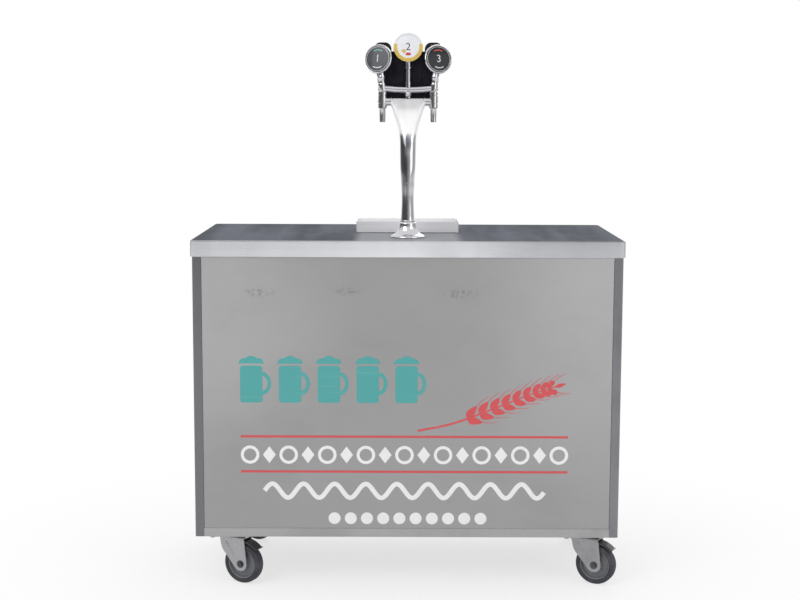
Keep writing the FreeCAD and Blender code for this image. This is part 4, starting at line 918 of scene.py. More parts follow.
class BAR_OT_film(bpy.types.Operator):
    """Cut the coloured film for the front panel: mugs, a barley ear, rules, dots and a wave"""
    bl_idname = "bar.film"
    bl_label = "Front film"

    rooted = 0.6                   # how far the film's back lies behind the panel's face
    layer, cycle = 0.012, 14       # each shape stands this much higher than the last, in a cycle
    left, right = -465, 450        # where the rules begin, and the mugs with them, and where the rules end
    rules, rule = (431, 331), 3.2  # the rules' heights over the floor, and half their width
    signs_up, wave_up, dots_up = 379, 276, 197  # the heights of the signs between them, the wave and the dots

    def execute(self, context):
        face = ends("front_panel")[0].y
        self.lay = at(0, face + self.rooted, 0) @ turned(90, "X")
        self.depth, self.count = self.rooted + sizes().vinyl / MM, 0
        self.mugs()
        self.barley()
        piece("red_rule_film", [(self.cut(rectangle(self.left, z - self.rule, self.right, z + self.rule)), "red")
                                for z in self.rules], "bar")
        self.rows(face)
        return {"FINISHED"}

    def cut(self, outline):
        """One film shape from its outline seen from the front, a hair above the last, in millimetres."""
        self.count = (self.count + 1) % self.cycle
        return moved(slab(outline, self.depth + self.layer * self.count), self.lay)

    def mugs(self):
        """Five plain mugs in a row: body, foam and handle."""
        wide, tall, low, pitch = 62, 104, 527, 108
        shapes = []
        for left in (self.left + number * pitch for number in range(5)):
            foam = []
            for turn in (math.pi * step / 40 for step in range(41)):
                swell = 17 + 5 * abs(math.sin(3 * turn))
                foam.append((left + wide / 2 + (wide / 2 + 4) * math.cos(turn),
                             low + tall + 6 + swell * math.sin(turn)))
            ring = (left + wide, low + tall * 0.52)
            handle = arc(*ring, 24, 90, -90, 24, 32) + arc(*ring, 14, 90, -90, 24, 21)[::-1]
            for outline in (rectangle(left, low, left + wide, low + tall, 9), foam, handle):
                shapes.append((self.cut(outline), "teal"))
        piece("teal_mug_film", shapes, "bar")

    def barley(self):
        """A barley ear that rises to the right: a curved stem, paired grains and their awns."""
        stem = flow([(30, 448, 0), (130, 470, 0), (245, 513, 0), (345, 553, 0), (412, 574, 0)], 14)
        shapes = [self.ribbon(stem, 3.2, 1.6)]
        for number in range(9):
            index = 18 + number * 4
            here, ahead = stem[index], (stem[index + 1] - stem[index]).normalized()
            size = 1.0 - 0.045 * number
            for way in (-1, 1):
                lean = Matrix.Rotation(math.radians(way * 30), 3, "Z") @ ahead
                tip = here + lean * 54 * size
                side = Vector((-lean.y, lean.x, 0)) * 12 * size
                shapes.append(self.grain([here + lean * 4, here + lean * 16 + side, here + lean * 32 + side * 0.8,
                                          tip, here + lean * 32 - side * 0.8, here + lean * 16 - side], 9))
                awn = flow([tip - lean * 3, tip + lean * 14 + ahead * 5, tip + lean * 24 + ahead * 16], 4)
                shapes.append(self.ribbon(awn, 1.0, 0.7))
        tip, last = stem[-1], (stem[-1] - stem[-2]).normalized()
        side = Vector((-last.y, last.x, 0)) * 7
        shoulder = tip + last * 12
        shapes.append(self.grain([tip - last * 4, shoulder + side, tip + last * 34, shoulder - side], 8))
        piece("red_barley_film", [(shape, "red") for shape in shapes], "bar")

    def grain(self, outline, ease):
        return self.cut(rounded([point.to_2d() for point in outline], ease, closed=True))

    def ribbon(self, line, width, taper=0.0):
        """A strip along a line: its half width at the start, and how much of that it loses by the end."""
        left, right = [], []
        for index, point in enumerate(line):
            ahead = (line[min(index + 1, len(line) - 1)] - line[max(index - 1, 0)]).normalized()
            side = Vector((-ahead.y, ahead.x, 0)) * (width - taper * index / len(line))
            left.append((point + side).to_2d())
            right.append((point - side).to_2d())
        return self.cut(left + right[::-1])

    def rows(self, face):
        """White film: rings and diamonds between the rules, a wave below them, and a short row of dots."""
        shapes = []
        first, pitch, z = -439, 54, self.signs_up
        for number in range(17):
            x = first + number * pitch
            if number % 2:
                shapes.append(self.cut([(x - 18, z), (x, z - 24), (x + 18, z), (x, z + 24)]))
            else:
                shapes.append(self.cut(arc(x, z, 26, 0, 360, 40) + arc(x, z, 17.5, 0, 360, 40)[::-1]))
        start, end, waves, swing = -399, 387, 9, 20
        wave = [Vector((x, self.wave_up + swing * math.sin((x - start) / (end - start) * 2 * math.pi * waves), 0))
                for x in range(start, end + 1, 4)]
        shapes.append(self.ribbon(wave, 6.5))
        piece("white_wave_film", [(shape, "white") for shape in shapes], "bar")
        first, pitch, sunk = -203, 45.6, 0.3
        studs("white_dot_film", [(first + number * pitch, face + sunk, self.dots_up) for number in range(10)], "bar",
              "white", (15, 0.3), (17, 0.3), 40, (90, 0, 0))


# ---------------------------------------------------------------- castors

class BAR_OT_castors(bpy.types.Operator):
    """Build the four castors: plates, bolts, forks, wheels and the two brake pedals"""
    bl_idname = "bar.castors"
    bl_label = "Castors"

    trail = -26.0       # which way the wheels trail, in degrees
    offset = 43.0       # from the swivel's axis to the wheel's
    pin = (65.25, 93)   # the pedal's pin, by its distance and its angle from the wheel's axis
    arm = (62.2, 68.5)  # the pedal's inner and outer radius about the wheel's axis

    def execute(self, context):
        under, top = (end.z for end in ends("castor_plates"))
        self.hub = middle("wheel_front_left").z
        lean = math.radians(self.trail)
        plates, bolts = [], []
        for tag in ("front_left", "front_right", "rear_left", "rear_right"):
            wheel = middle(f"wheel_{tag}")
            x, y = wheel.x - self.offset * math.cos(lean), wheel.y - self.offset * math.sin(lean)
            plates.append((slab(rectangle(-60, -45, 60, 45, 9), top - under, 0.5), "zinc", at(x, y, under)))
            bolts += [(x + across * 48, y + deep * 33, under) for across in (-1, 1) for deep in (-1, 1)]
            place = at(x, y, 0) @ turned(self.trail, "Z")
            braked = tag.startswith("front")
            self.fork(tag, place, under, braked)
            self.wheel(tag, place)
            if braked:
                self.pedal(tag, place)
        piece("castor_top_plates", plates, "bar", ["castor_plates"])
        studs("castor_bolts", bolts, "bar", "zinc", (6.5, 3.3), (8, 1), 6, (180, 0, 0))
        return {"FINISHED"}

    def across(self, x, z):
        """The place of a shape that is turned about a line across the wheel."""
        return at(x, 0, z) @ turned(90, "X")

    def fork(self, tag, place, under, braked):
        """Pressed fork: dished crown under a race, two legs with turned edges, axle bolt and nuts."""
        race = lathe([(0, under - 5.6), (24.4, under - 5.6), (26, under - 4), (26, under - 1), (24, under - 0.1),
                      (0, under - 0.1)], 48)
        crown = slab(rectangle(-24, -21, 56, 21, 8), 4, 1.5, 3)
        shapes = [(race, "zinc"), (crown, "zinc", at(0, 0, under - 9.5))]
        leg = rounded([(-24, 131.5), (-23, 118), (-18, 97), (20, 52), (30, 40), (43, 36.4), (56, 40), (64, 52),
                       (61.5, 78), (57.5, 112), (56, 131.5)], 9, closed=True)
        for way in (-1, 1):
            shapes.append((slab(leg, 3, 0.7), "zinc", at(0, 21 if way > 0 else -18, 0) @ turned(90, "X")))
            rib = flow([(-6, way * 20.6, 120), (10, way * 20.6, 98), (28, way * 20.6, 74)], 6)
            shapes.append((tube(rib, [0.2] + [2.2] * (len(rib) - 2) + [0.2], 12), "zinc"))
            outward = at(self.offset, way * 21, self.hub) @ turned(-90 * way, "X")
            bolt_end = lathe([(0, 0), (4.6, 0), (4.6, 4.4), (3.6, 5), (0, 5)], 24)
            for shape, lift in ((rod(11, 0, 1.2, 32), 0), (slab(hexagon(8, 0.8), 3.9, 0.7), 1.1), (bolt_end, 0)):
                shapes.append((shape, "zinc_dark", outward @ at(0, 0, lift)))
        shapes.append((rod(5, -20, 20, 32), "zinc", self.across(self.offset, self.hub)))
        if braked:
            reach, turn = self.pin
            spot = arc(self.offset, self.hub, reach, turn, turn, 1)[0]
            shapes.append((rod(2.2, -20, 20, 20), "zinc", self.across(*spot)))
        piece(f"pressed_fork_{tag}", shapes, f"fork_{tag}", [f"castor_fork_{tag}"], place=place)

    def wheel(self, tag, place):
        """Wheel core with a web, hub and rim, and a crowned tyre moulded over it."""
        core = lathe(mirrored([(5.3, -16), (14, -16), (16, -9), (18, -6), (37, -5), (40, -12.5), (45, -13.5)]),
                     72, 1.6, closed=True)
        tyre = lathe(mirrored([(43, -14.5), (47.5, -16), (54.5, -15), (57.5, -9)]), 96, 2.4, closed=True)
        piece(f"castor_wheel_{tag}", [(core, "core"), (tyre, "tyre")], f"wheel_{tag}", [f"wheel_{tag}"],
              40, place @ self.across(self.offset, self.hub))

    def pedal(self, tag, place):
        """The brake pedal: an arc over the tyre with a ridged pad."""
        inner, outer = (arc(self.offset, self.hub, radius, 101.5, 45, 19) for radius in self.arm)
        for rim in (inner, outer):
            rim.append((rim[-1][0] + 6, rim[-1][1]))
        shapes = [(slab(inner + outer[::-1], 34, 1.0), "pedal", at(0, 17, 0) @ turned(90, "X"))]
        for turn in (50, 56, 62, 68):
            x, z = arc(self.offset, self.hub, self.arm[1] - 0.1, turn, turn, 1)[0]
            shapes.append((block((-0.9, -14, -0.2), (0.9, 14, 0.9), 0.3), "pedal",
                           at(x, 0, z) @ turned(90 - turn, "Y")))
        piece(f"ridged_pedal_{tag}", shapes, f"pedal_{tag}", [f"brake_pedal_{tag}"], place=place)


# ---------------------------------------------------------------- tower

class BAR_OT_tower(bpy.types.Operator):
    """Build the chrome tower: foot, hooded column, manifold, outlet barrels and clamp nut"""
    bl_idname = "bar.tower"
    bl_label = "Tower"

    sides = 72        # points round the column
    flare = 240, 360  # the heights between which the column's section turns from round to squarish

    def execute(self, context):
        self.y, self.top = middle("tower_foot").y, ends("counter_skin")[1].z
        self.foot()
        self.column()
        self.head()
        low, high = ends("tower_nut")
        piece("clamp_nut", [(slab(hexagon(30, 2), high.z - low.z, 1.2), "brass", at(0, self.y, low.z))], "bar",
              ["tower_nut"])
        return {"FINISHED"}

    def foot(self):
        """A flared foot: flat rim, hollow sweep up to the neck, and the threaded shank below."""
        shank = ends("tower_foot")[0].z - self.top
        profile = [(0, shank), (17, shank), (18, shank + 1.5), (18, 0), (48.2, 0), (49, 0.8), (49, 3.2), (47.8, 5.2),
                   (45, 6.4), (44, 7.6), (41, 8.6), (36.5, 11), (31.5, 16), (27.8, 23), (25.6, 31), (24.8, 37),
                   (24.9, 40), (23.8, 42.2), (21.6, 43.2), (20.6, 45), (0, 45)]
        piece("flared_foot", [(lathe(profile, 96), "chrome", at(0, self.y, self.top))], "bar", ["tower_foot"],
              50)

    def column(self):
        """The column: round at the neck, then widening and leaning back into the hood over the manifold."""
        # height over the counter, half width, half depth, how far it leans back and its tilt in degrees
        stations = [(45, 19.5, 19.5, 0, 0), (70, 18.2, 18.2, 0, 0), (110, 17, 17, 0, 0), (155, 18.6, 17.8, 0.8, 0),
                    (200, 21.5, 19, 3, 0), (245, 22.4, 19.6, 8, 6), (282, 23.5, 20, 16, 20), (312, 29, 20, 30, 36),
                    (336, 36, 19, 48, 48), (358, 43.5, 16, 76, 57), (376, 51, 13, 104, 62)]
        sections = flow([row[:3] for row in stations], 6)
        leans = flow([(*row[3:], 0) for row in stations], 6)
        start, end = self.flare
        rings = []
        for (height, across, deep), (lean, tilt, _) in zip(sections, leans):
            share = max(0.0, min(1.0, (height - start) / (end - start)))
            power = 2 / (2 + 1.1 * share)
            centre = Vector((0, self.y + lean, self.top + height))
            turn = Matrix.Rotation(math.radians(-tilt), 3, "X")
            ring = []
            for angle in (2 * math.pi * step / self.sides for step in range(self.sides)):
                x, y = (math.copysign(abs(part) ** power, part) for part in (math.cos(angle), math.sin(angle)))
                ring.append((centre + turn @ Vector((across * x, deep * y, 0))) * MM)
            rings.append(ring)
        collar = lathe([(0, 44.5), (20.6, 44.5), (21.4, 45.6), (21.4, 48.6), (20.4, 49.8), (0, 49.8)], 72)
        piece("hooded_column", [(loft(rings), "hood"), (collar, "chrome", at(0, self.y, self.top))], "bar",
              ["tower_column"], 60)

    def head(self):
        """Manifold with end beads, and two outlet barrels with nozzles."""
        centre = middle("manifold")
        beaded = lathe(mirrored([(0, -66), (12, -66), (12, -50), (13.2, -48.5), (13.2, -45.5), (12, -44)]), 56)
        piece("manifold_tube", [(beaded, "chrome", at(0, centre.y, centre.z) @ turned(90, "Y"))], "bar",
              ["manifold"])
        low, high = ends("outlet_barrels")
        radius, step, tall = 13, 40, high.z - low.z
        x = (high.x - low.x) / 2 - radius
        line = [(0, 6), (5.2, 6), (5.2, 0.6), (6, 0), (8, 0), (8.6, 0.8), (8.6, 14), (9, 15), (9, step - 4),
                (10.5, step - 1), (12.2, step), (13, step + 1.2), (13, step + 12), (12.2, step + 12.8),
                (12.2, step + 14.2), (13, step + 15), (13, tall - 12), (12.2, tall - 11.2), (12.2, tall - 9.8),
                (13, tall - 9), (13, tall - 1.5), (11.5, tall), (0, tall)]
        piece("outlet_barrel_pair", [(lathe(line, 56), "chrome", at(way * x, centre.y, low.z)) for way in (-1, 1)],
              "bar", ["outlet_barrels"])


class BAR_OT_medallions(bpy.types.Operator):
    """Build the medallion bar, the three rimmed medallions and their numbered faces"""
    bl_idname = "bar.medallions"
    bl_label = "Medallions"

    pitch, height, drop = 84, 533, 33  # between medallions, over the counter, and how much lower the sides are
    fan, lean = 22, 80                 # how far the sides turn outwards, and all are tipped up, in degrees
    face_radius, face_lift = 37.5, 8   # a face's radius, and its edge's height in its rim
    bar_height, stems_foot, nut_height = 419, 410, 403  # over the counter

    def execute(self, context):
        self.y, self.top = middle("manifold").y, ends("counter_skin")[1].z
        self.bar()
        rim = [(0, -7.4), (22, -7.6), (33, -6.8), (39.2, -4.4), (41.5, -1), (42, 2.5), (41.9, 5.6), (41.2, 7.4),
               (40.0, 8.3), (38.6, 8.1), (37.9, 7.2), (37.6, 6.2), (0, 6.2)]
        rims = []
        for name, way in TAPS:
            place = (at(way * self.pitch, self.y, self.top + self.height - self.drop * abs(way))
                     @ turned(way * self.fan, "Z") @ turned(self.lean, "X"))
            rims.append((lathe(rim, 96), "chrome", place))
            self.face(name, place)
        piece("medallion_rims", rims, "bar", ["medallion_cups"], 45)
        return {"FINISHED"}

    def bar(self):
        """A bar that sags a little, with a centre stem and two stepped side stems, before the back plate."""
        half, z, bow = 80, self.top + self.bar_height, sizes().bow / MM
        path = [(x, self.y, z - bow * (1 - (x / half) ** 2)) for x in range(-half, half + 1, 8)]
        tips = [(half + 4.5, self.y, z + 1), (half + 6, self.y, z + 1)]
        path = [(-x, y, up) for x, y, up in tips[::-1]] + path + tips
        shapes = [(tube(path, [5.5, 8.4, *[9.4] * (len(path) - 4), 8.4, 5.5], 32), "chrome")]
        low = middle("manifold").z - self.top + 10
        stem = [(0, low), (8, low), (8, 398), (10.2, 399.5), (10.2, 405.5), (8, 407), (8, 436), (7, 438),
                (7, 472), (9.4, 473.5), (9.4, 480), (7.4, 481.5), (7.4, 500), (0, 500)]
        shapes.append((lathe(stem, 40), "chrome", at(0, self.y, self.top)))
        side = [(0, -1), (10.4, -1), (11.5, 0.4), (11.5, 20), (9.4, 22.5), (9.4, 34), (11, 36), (11, 43), (9, 46),
                (9, 68), (0, 68)]
        for way in (-1, 1):
            shapes.append((lathe(side, 40), "chrome",
                           at(way * TAP_PITCH, self.y, self.top + self.stems_foot) @ turned(way * 5, "Y")))
        acorn = [(0, 10), (9.2, 10), (9.2, 14.4), (8.2, 15.2), (7.8, 17), (6.2, 20.4), (3.4, 22.4), (0, 23)]
        shapes.append((lathe(acorn, 32), "chrome",
                       at(0, self.y + 5, self.top + self.nut_height) @ turned(90, "X")))
        piece("medallion_bar", shapes, "bar", ["medallion_trident"], 40)
        eased("medallion_backplate", "lacquered_back_plate", "backplate", 0.0005)

    def rise(self, radius):
        """The domed face's height at a radius."""
        return self.face_lift + sizes().dome / MM * (1 - (radius / self.face_radius) ** 2)

    def face(self, name, place):
        """A domed, lacquered face with a printed ring or rings, a number and short arcs."""
        if name == "centre":
            number, ink = "2", "face_left"
            bands = ((31, 37.4, 165, 375, 0.12, "face_gold"), (37.4, 41.6, 165, 375, 0.95, "face_gold"),
                     (37.4, 41.6, 15, 165, 0.95, "face_centre"), (16, 24, 250, 290, 0.16, "face_red"),
                     (12, 22, 206, 240, 0.14, "face_gold"))
        else:
            number, ink = {"left": "1", "right": "3"}[name], "face_mark"
            bands = ((34.2, 35.4, 0, 360, 0.12, "face_mark"),
                     (24, 27, 60, 120, 0.12, "face_red" if name == "right" else "face_teal"),
                     (24, 27, 240, 300, 0.12, "face_mark"))
        dome = [(radius, self.rise(radius)) for radius in (35, 30, 24, 18, 12, 6, 0)]
        shapes = [(lathe([(0, 6.3), (37.4, 6.3), (37.4, 7.8)] + dome, 96), f"face_{name}", place)]
        shapes += [(self.band(*spread), finish, place) for *spread, finish in bands]
        shapes.append((self.numeral(number), ink, place @ at(0, 0, self.rise(0) - 0.25)))
        piece(f"medallion_face_{name}", shapes, "bar", ["medallion_discs"], 40)

    def band(self, inner, outer, start, end, lift):
        """A thin printed band that follows the dome, between two radii and two angles."""
        steps = max(6, int(abs(end - start) / 4))
        bm = bmesh.new()
        rows = []
        for radius in (inner, (inner + outer) / 2, outer):
            height = self.rise(radius) + lift
            rows.append([bm.verts.new((x * MM, y * MM, height * MM))
                         for x, y in arc(0, 0, radius, start, end, steps)])
        for low, high in zip(rows, rows[1:]):
            for step in range(steps):
                bm.faces.new([low[step], high[step], high[step + 1], low[step + 1]])
        return raised(bm, -0.4)

    def numeral(self, text):
        """A plain number as a thin solid, centred on the axis."""
        curve = bpy.data.curves.new("numeral", "FONT")
        curve.body = text
        curve.size, curve.extrude = 30 * MM, 0.25 * MM
        curve.align_x, curve.align_y = "CENTER", "CENTER"
        made = bpy.data.objects.new("numeral", curve)
        bpy.context.scene.collection.objects.link(made)
        mesh = evaluated(made)
        bm = bmesh.new()
        bm.from_mesh(mesh)
        bmesh.ops.remove_doubles(bm, verts=bm.verts, dist=1e-6)
        bmesh.ops.recalc_face_normals(bm, faces=bm.faces)
        bpy.data.objects.remove(made)
        bpy.data.curves.remove(curve)
        bpy.data.meshes.remove(mesh)
        return bm


class BAR_OT_taps(bpy.types.Operator):
    """Build the three taps and their levers with paddle grips"""
    bl_idname = "bar.taps"
    bl_label = "Taps"

    # from the manifold's axis: to the tap's body, to the lever's pin (back and up), and to the spout's axis
    body_start, pivot, spout = 34, (58, 24), 78
    spout_turn = 188  # from straight up, in degrees

    def execute(self, context):
        self.centre = middle("manifold")
        shapes = []
        for tap, way in TAPS:
            shapes += self.tap(way * TAP_PITCH)
            self.lever(tap)
        piece("tap_bodies", [(shape, "chrome", place) for shape, place in shapes], "bar", ["taps"], 40)
        return {"FINISHED"}

    def tap(self, x):
        """One tap: shank, coupling nut, stepped body, ears with pin heads and a bored, lipped spout."""
        y, z = self.centre.yz
        along = at(x, y, z) @ turned(-90, "X")
        start = self.body_start
        body = [(0, 9), (8, 9), (8, 22), (8, start - 10), (10.5, start - 10), (10.5, start), (13, start + 1),
                (13, start + 15), (12.2, start + 16), (12.2, start + 18), (13, start + 19), (13, start + 46),
                (11.8, start + 50), (8.5, start + 54.5), (4, start + 56), (0, start + 56)]
        shapes = [(lathe(body, 56), along), (slab(hexagon(15, 1.6), 9.6, 1.0), along @ at(0, 0, start - 10))]
        pin_y, pin_z = y + self.pivot[0], z + self.pivot[1]
        ear = rounded([(-6, -16), (6, -16), (6, 3), (4.2, 6), (-4.2, 6), (-6, 3)], 2.6, closed=True)
        for way in (-1, 1):
            upright = at(x + (4 if way > 0 else -7), pin_y, pin_z) @ turned(90, "Z") @ turned(90, "X")
            shapes.append((slab(ear, 3, 0.5), upright))
            shapes.append((lathe([(0, 0), (3.8, 0), (3.8, 1), (2.8, 1.8), (0, 1.8)], 24),
                           at(x + way * 6.9, pin_y, pin_z) @ turned(90 * way, "Y")))
        shapes.append((rod(2.5, -4, 4, 24), at(x, pin_y, pin_z) @ turned(90, "Y")))
        spout = [(0, 0), (8.4, 0), (8.4, 10), (7, 12), (6.6, 28), (6.2, 44), (6.2, 49), (7, 50.5), (7, 53.4),
                 (6.2, 54), (5, 54), (4.5, 53.2), (4.5, 34), (0, 34)]
        shapes.append((lathe(spout, 40), at(x, y + self.spout, z) @ turned(self.spout_turn, "X")))
        return shapes

    def lever(self, tap):
        """A lever: rounded eye on the pin, stem, ferrule and a gloss paddle with a rounded edge."""
        low, high = ends(f"tap_lever_{tap}")
        x, y, foot, pivot = (low.x + high.x) / 2, (low.y + high.y) / 2, high.z, low.z + 6
        eye = lathe(mirrored([(2.6, -3.7), (5.6, -3.7), (6, -3.2)]), 32, closed=True)
        stem = lathe([(0, pivot + 4), (3.4, pivot + 4), (3.7, foot - 9), (5, foot - 8), (6.4, foot - 6),
                      (7.4, foot - 5), (7.4, foot + 3), (0, foot + 3)], 32)
        piece(f"rocking_lever_{tap}", [(eye, "chrome", at(x, y, pivot) @ turned(90, "Y")),
                                       (stem, "chrome", at(x, y, 0))], f"lever_{tap}", [f"tap_lever_{tap}"],
              40)
        low, high = ends(f"lever_grip_{tap}")
        wide, thick, tall = high - low
        half, neck = wide / 2, wide / 2 * 0.56
        outline = rounded([(-neck, 0), (neck, 0), (neck + 1.5, tall * 0.18), (half, tall * 0.55),
                           (half, tall - 12), (half - 10, tall), (10 - half, tall), (-half, tall - 12),
                           (-half, tall * 0.55), (-neck - 1.5, tall * 0.18)], 22, closed=True, steps=8)
        paddle = (slab(outline, thick, 4.4, 4), "grip", at(x, high.y, low.z) @ turned(90, "X"))
        piece(f"paddle_grip_{tap}", [paddle], f"lever_{tap}", [f"lever_grip_{tap}"], 45)


# ---------------------------------------------------------------- drip tray and cooling

class BAR_OT_tray(bpy.types.Operator):
    """Build the lift-off drip tray with its rolled rim, and finish the slotted grille"""
    bl_idname = "bar.tray"
    bl_label = "Drip tray"

    wire = 0.9  # the rolled rim's radius

    def execute(self, context):
        low, high = ends("drip_tray")
        wire = self.wire
        corners = rectangle(low.x + wire, low.y + wire, high.x - wire, high.y - wire, 8, 6)
        bm = bmesh.new()
        rings = []
        for index, here in enumerate(corners):
            ahead = (corners[(index + 1) % len(corners)] - corners[index - 1]).normalized()
            out = Vector((ahead.y, -ahead.x, 0))
            centre = Vector((*here, high.z - wire))
            rings.append([bm.verts.new((centre + out * away + Z * up) * MM)
                          for away, up in arc(0, 0, wire, 0, 324, 9)])
        for ring, after in zip(rings, rings[1:] + rings[:1]):
            bridge(bm, ring, after)
        bmesh.ops.recalc_face_normals(bm, faces=bm.faces)
        piece("rolled_rim_tray", [(softened("drip_tray", sizes().edge), "tray"), (bm, "tray")], "drip_tray",
              ["drip_tray"])
        eased("drip_grille", "slotted_grille", "tray", FINE, body="drip_grille", segments=1)
        return {"FINISHED"}


class BAR_OT_cooling(bpy.types.Operator):
    """Build the ice tub, its lid and deck, the cold plate, the hose, the fittings and the drain valve"""
    bl_idname = "bar.cooling"
    bl_label = "Cooling"

    line_pitch = 60                 # between the three beer lines
    cast_long = 400                 # the cold plate without its stubs
    valve_flat, stem_in = 10.4, 20  # the valve's half width across flats, and from its inlet to its stem

    def execute(self, context):
        eased("tub_shell", "tub_moulding", "tub", 0.002, segments=3)
        eased("tub_liner", "tub_steel_liner", "sheet_x", FINE, segments=1)
        centre = middle("line_fittings").y
        self.lines = (centre - self.line_pitch, centre, centre + self.line_pitch)
        self.lid()
        self.deck()
        self.cold_plate()
        self.hose()
        self.fittings()
        self.valve()
        return {"FINISHED"}

    def lid(self):
        """The lid: rounded slab with a raised field, a lip to lift it by and its hinge barrel."""
        low, high = ends("tub_lid")
        lip, gap, inset, barrel = 12, 6, 26, 358
        rear, front = high.y - lip, low.y + gap
        shapes = [(block((low.x, front, low.z), (high.x, rear, high.z - 3), 3, 3), "tub"),
                  (block((low.x + inset, front + inset, high.z - 6), (high.x - inset, rear - inset, high.z), 2.4, 3),
                   "tub"),
                  (slab(rectangle(-60, -6, 60, lip, 7), 5, 1.4, 3), "tub",
                   at((low.x + high.x) / 2, rear, low.z + 10)),
                  (lathe([(0, 0), (3.4, 0), (4, 0.6), (4, barrel - 0.6), (3.4, barrel), (0, barrel)], 28), "sheet_x",
                   at(low.x + 40, front - 2, low.z + 4) @ turned(90, "Y"))]
        piece("ice_lid", shapes, "tub_lid", ["tub_lid"])
        eased("lid_hinge_leaf", "lid_leaf", "sheet_x", FINE, segments=1)
        low, high = ends("lid_hinge_leaf")
        studs("lid_leaf_screws", [(x, low.y + 0.1, low.z + 13) for x in spaced(low.x, high.x, 6)], "bar", "zinc",
              (2.6, 0.8), (3.4, 0.5), 12, (90, 0, 0))

    def deck(self):
        """The tub's fixed deck, and the gland that the hose bundle passes."""
        low, high = ends("tub_deck")
        deck_top = high.z - 14
        gland = lathe([(0, deck_top - 2), (28, deck_top - 2), (28, deck_top + 5), (26.5, deck_top + 6.5),
                       (25, deck_top + 7), (24.4, high.z - 1), (23.4, high.z), (0, high.z)], 56)
        piece("hose_deck", [(block(low, (high.x, high.y, deck_top), 3, 3), "tub"),
                            (gland, "pedal", at(0, middle("python_hose").y, 0))], "bar", ["tub_deck"])

    def cold_plate(self):
        """The casting: a ribbed block with three stubs."""
        low, high = ends("cold_plate")
        right = low.x + self.cast_long
        shapes = [(block(low, (right, high.y, high.z - 3), 4, 3), "cast")]
        ribs, inset = 17, 16
        for number in range(ribs):
            x = low.x + inset + number * (self.cast_long - 2 * inset) / (ribs - 1)
            shapes.append((block((x - 4, low.y + 10, high.z - 8), (x + 4, high.y - 10, high.z), 2, 2), "cast"))
        shapes += [(rod(5, 0, high.x - right, 24), "cast", at(right, y, low.z + 19) @ turned(90, "Y"))
                   for y in self.lines]
        piece("ribbed_cold_plate", shapes, "bar", ["cold_plate"])

    def hose(self):
        """The insulated hose bundle, bound with bands."""
        low, high = ends("python_hose")
        line = [(0, low.z)]
        height, banded = low.z, False
        while height < high.z - 1:
            swell = 21.9 if banded else 20.9
            line += [(swell - 0.7, height), (swell, height + 1)]
            height = min(high.z, height + (9 if banded else 62))
            line += [(swell, height - 1), (swell - 0.7, height)]
            banded = not banded
        line.append((0, high.z))
        place = middle("python_hose")
        piece("insulated_hose", [(lathe(line, 48), "sleeve", at(place.x, place.y, 0))], "bar", ["python_hose"])

    def fittings(self):
        """Three barbed hose tails in hexagonal nuts."""
        low, high = ends("line_fittings")
        tail = [(0, 11), (5.4, 11), (5.4, 13), *self.barbs(15, 7, 3.9, 4.5, 6.4), (3.6, 37), (2.6, 37), (2.6, 30),
                (0, 30)]
        shapes = []
        for y in self.lines:
            place = at(low.x, y, (low.z + high.z) / 2) @ turned(90, "Y")
            shapes += [(slab(hexagon(11, 1), 12, 1), "brass", place), (lathe(tail, 32), "brass", place)]
        piece("barbed_hose_tails", shapes, "bar", ["line_fittings"])

    def barbs(self, start, pitch, low, high, run):
        """Three barbs of a hose tail: each rises at once and falls back along its run."""
        line = []
        for height in (start + number * pitch for number in range(3)):
            line += [(low, height), (high, height + 0.4), (low, height + run)]
        return line

    def valve(self):
        """The drain valve: hexagonal body, barbed spigot, stem, and a dipped lever."""
        low, high = ends("drain_valve")
        x, z = (low.x + high.x) / 2, low.z + self.valve_flat
        stem = at(x, low.y + self.stem_in, 0)
        place = at(x, low.y, z) @ turned(-90, "X")
        spigot = [(0, 39), (7, 39), *self.barbs(41, 5.8, 7.2, 8, 5.2), (6.8, 60), (5.4, 60), (5.4, 50), (0, 50)]
        shapes = [(slab(hexagon(12, 1.2), 10, 1), "brass", place),
                  (slab(hexagon(12, 1.2), 10, 1), "brass", place @ at(0, 0, 30)),
                  (lathe([(0, 9), (9.6, 9), (10.4, 14), (10.4, 26), (9.6, 31), (0, 31)], 40), "brass", place),
                  (lathe(spigot, 40), "brass", place), (rod(4, z, high.z, 28), "brass", stem)]
        piece("drain_valve_body", shapes, "bar", ["drain_valve"])
        low, high = ends("drain_lever")
        outline = rounded([(-6, -6), (14, -6), (40, -4.6), (44, -4), (44, 4), (40, 4.6), (14, 6), (-6, 6)], 4,
                          closed=True)
        piece("dipped_drain_lever", [(slab(outline, high.z - low.z, 0.7), "lever", stem @ at(0, 0, low.z))],
              "drain_lever", ["drain_lever"])


# ---------------------------------------------------------------- stage

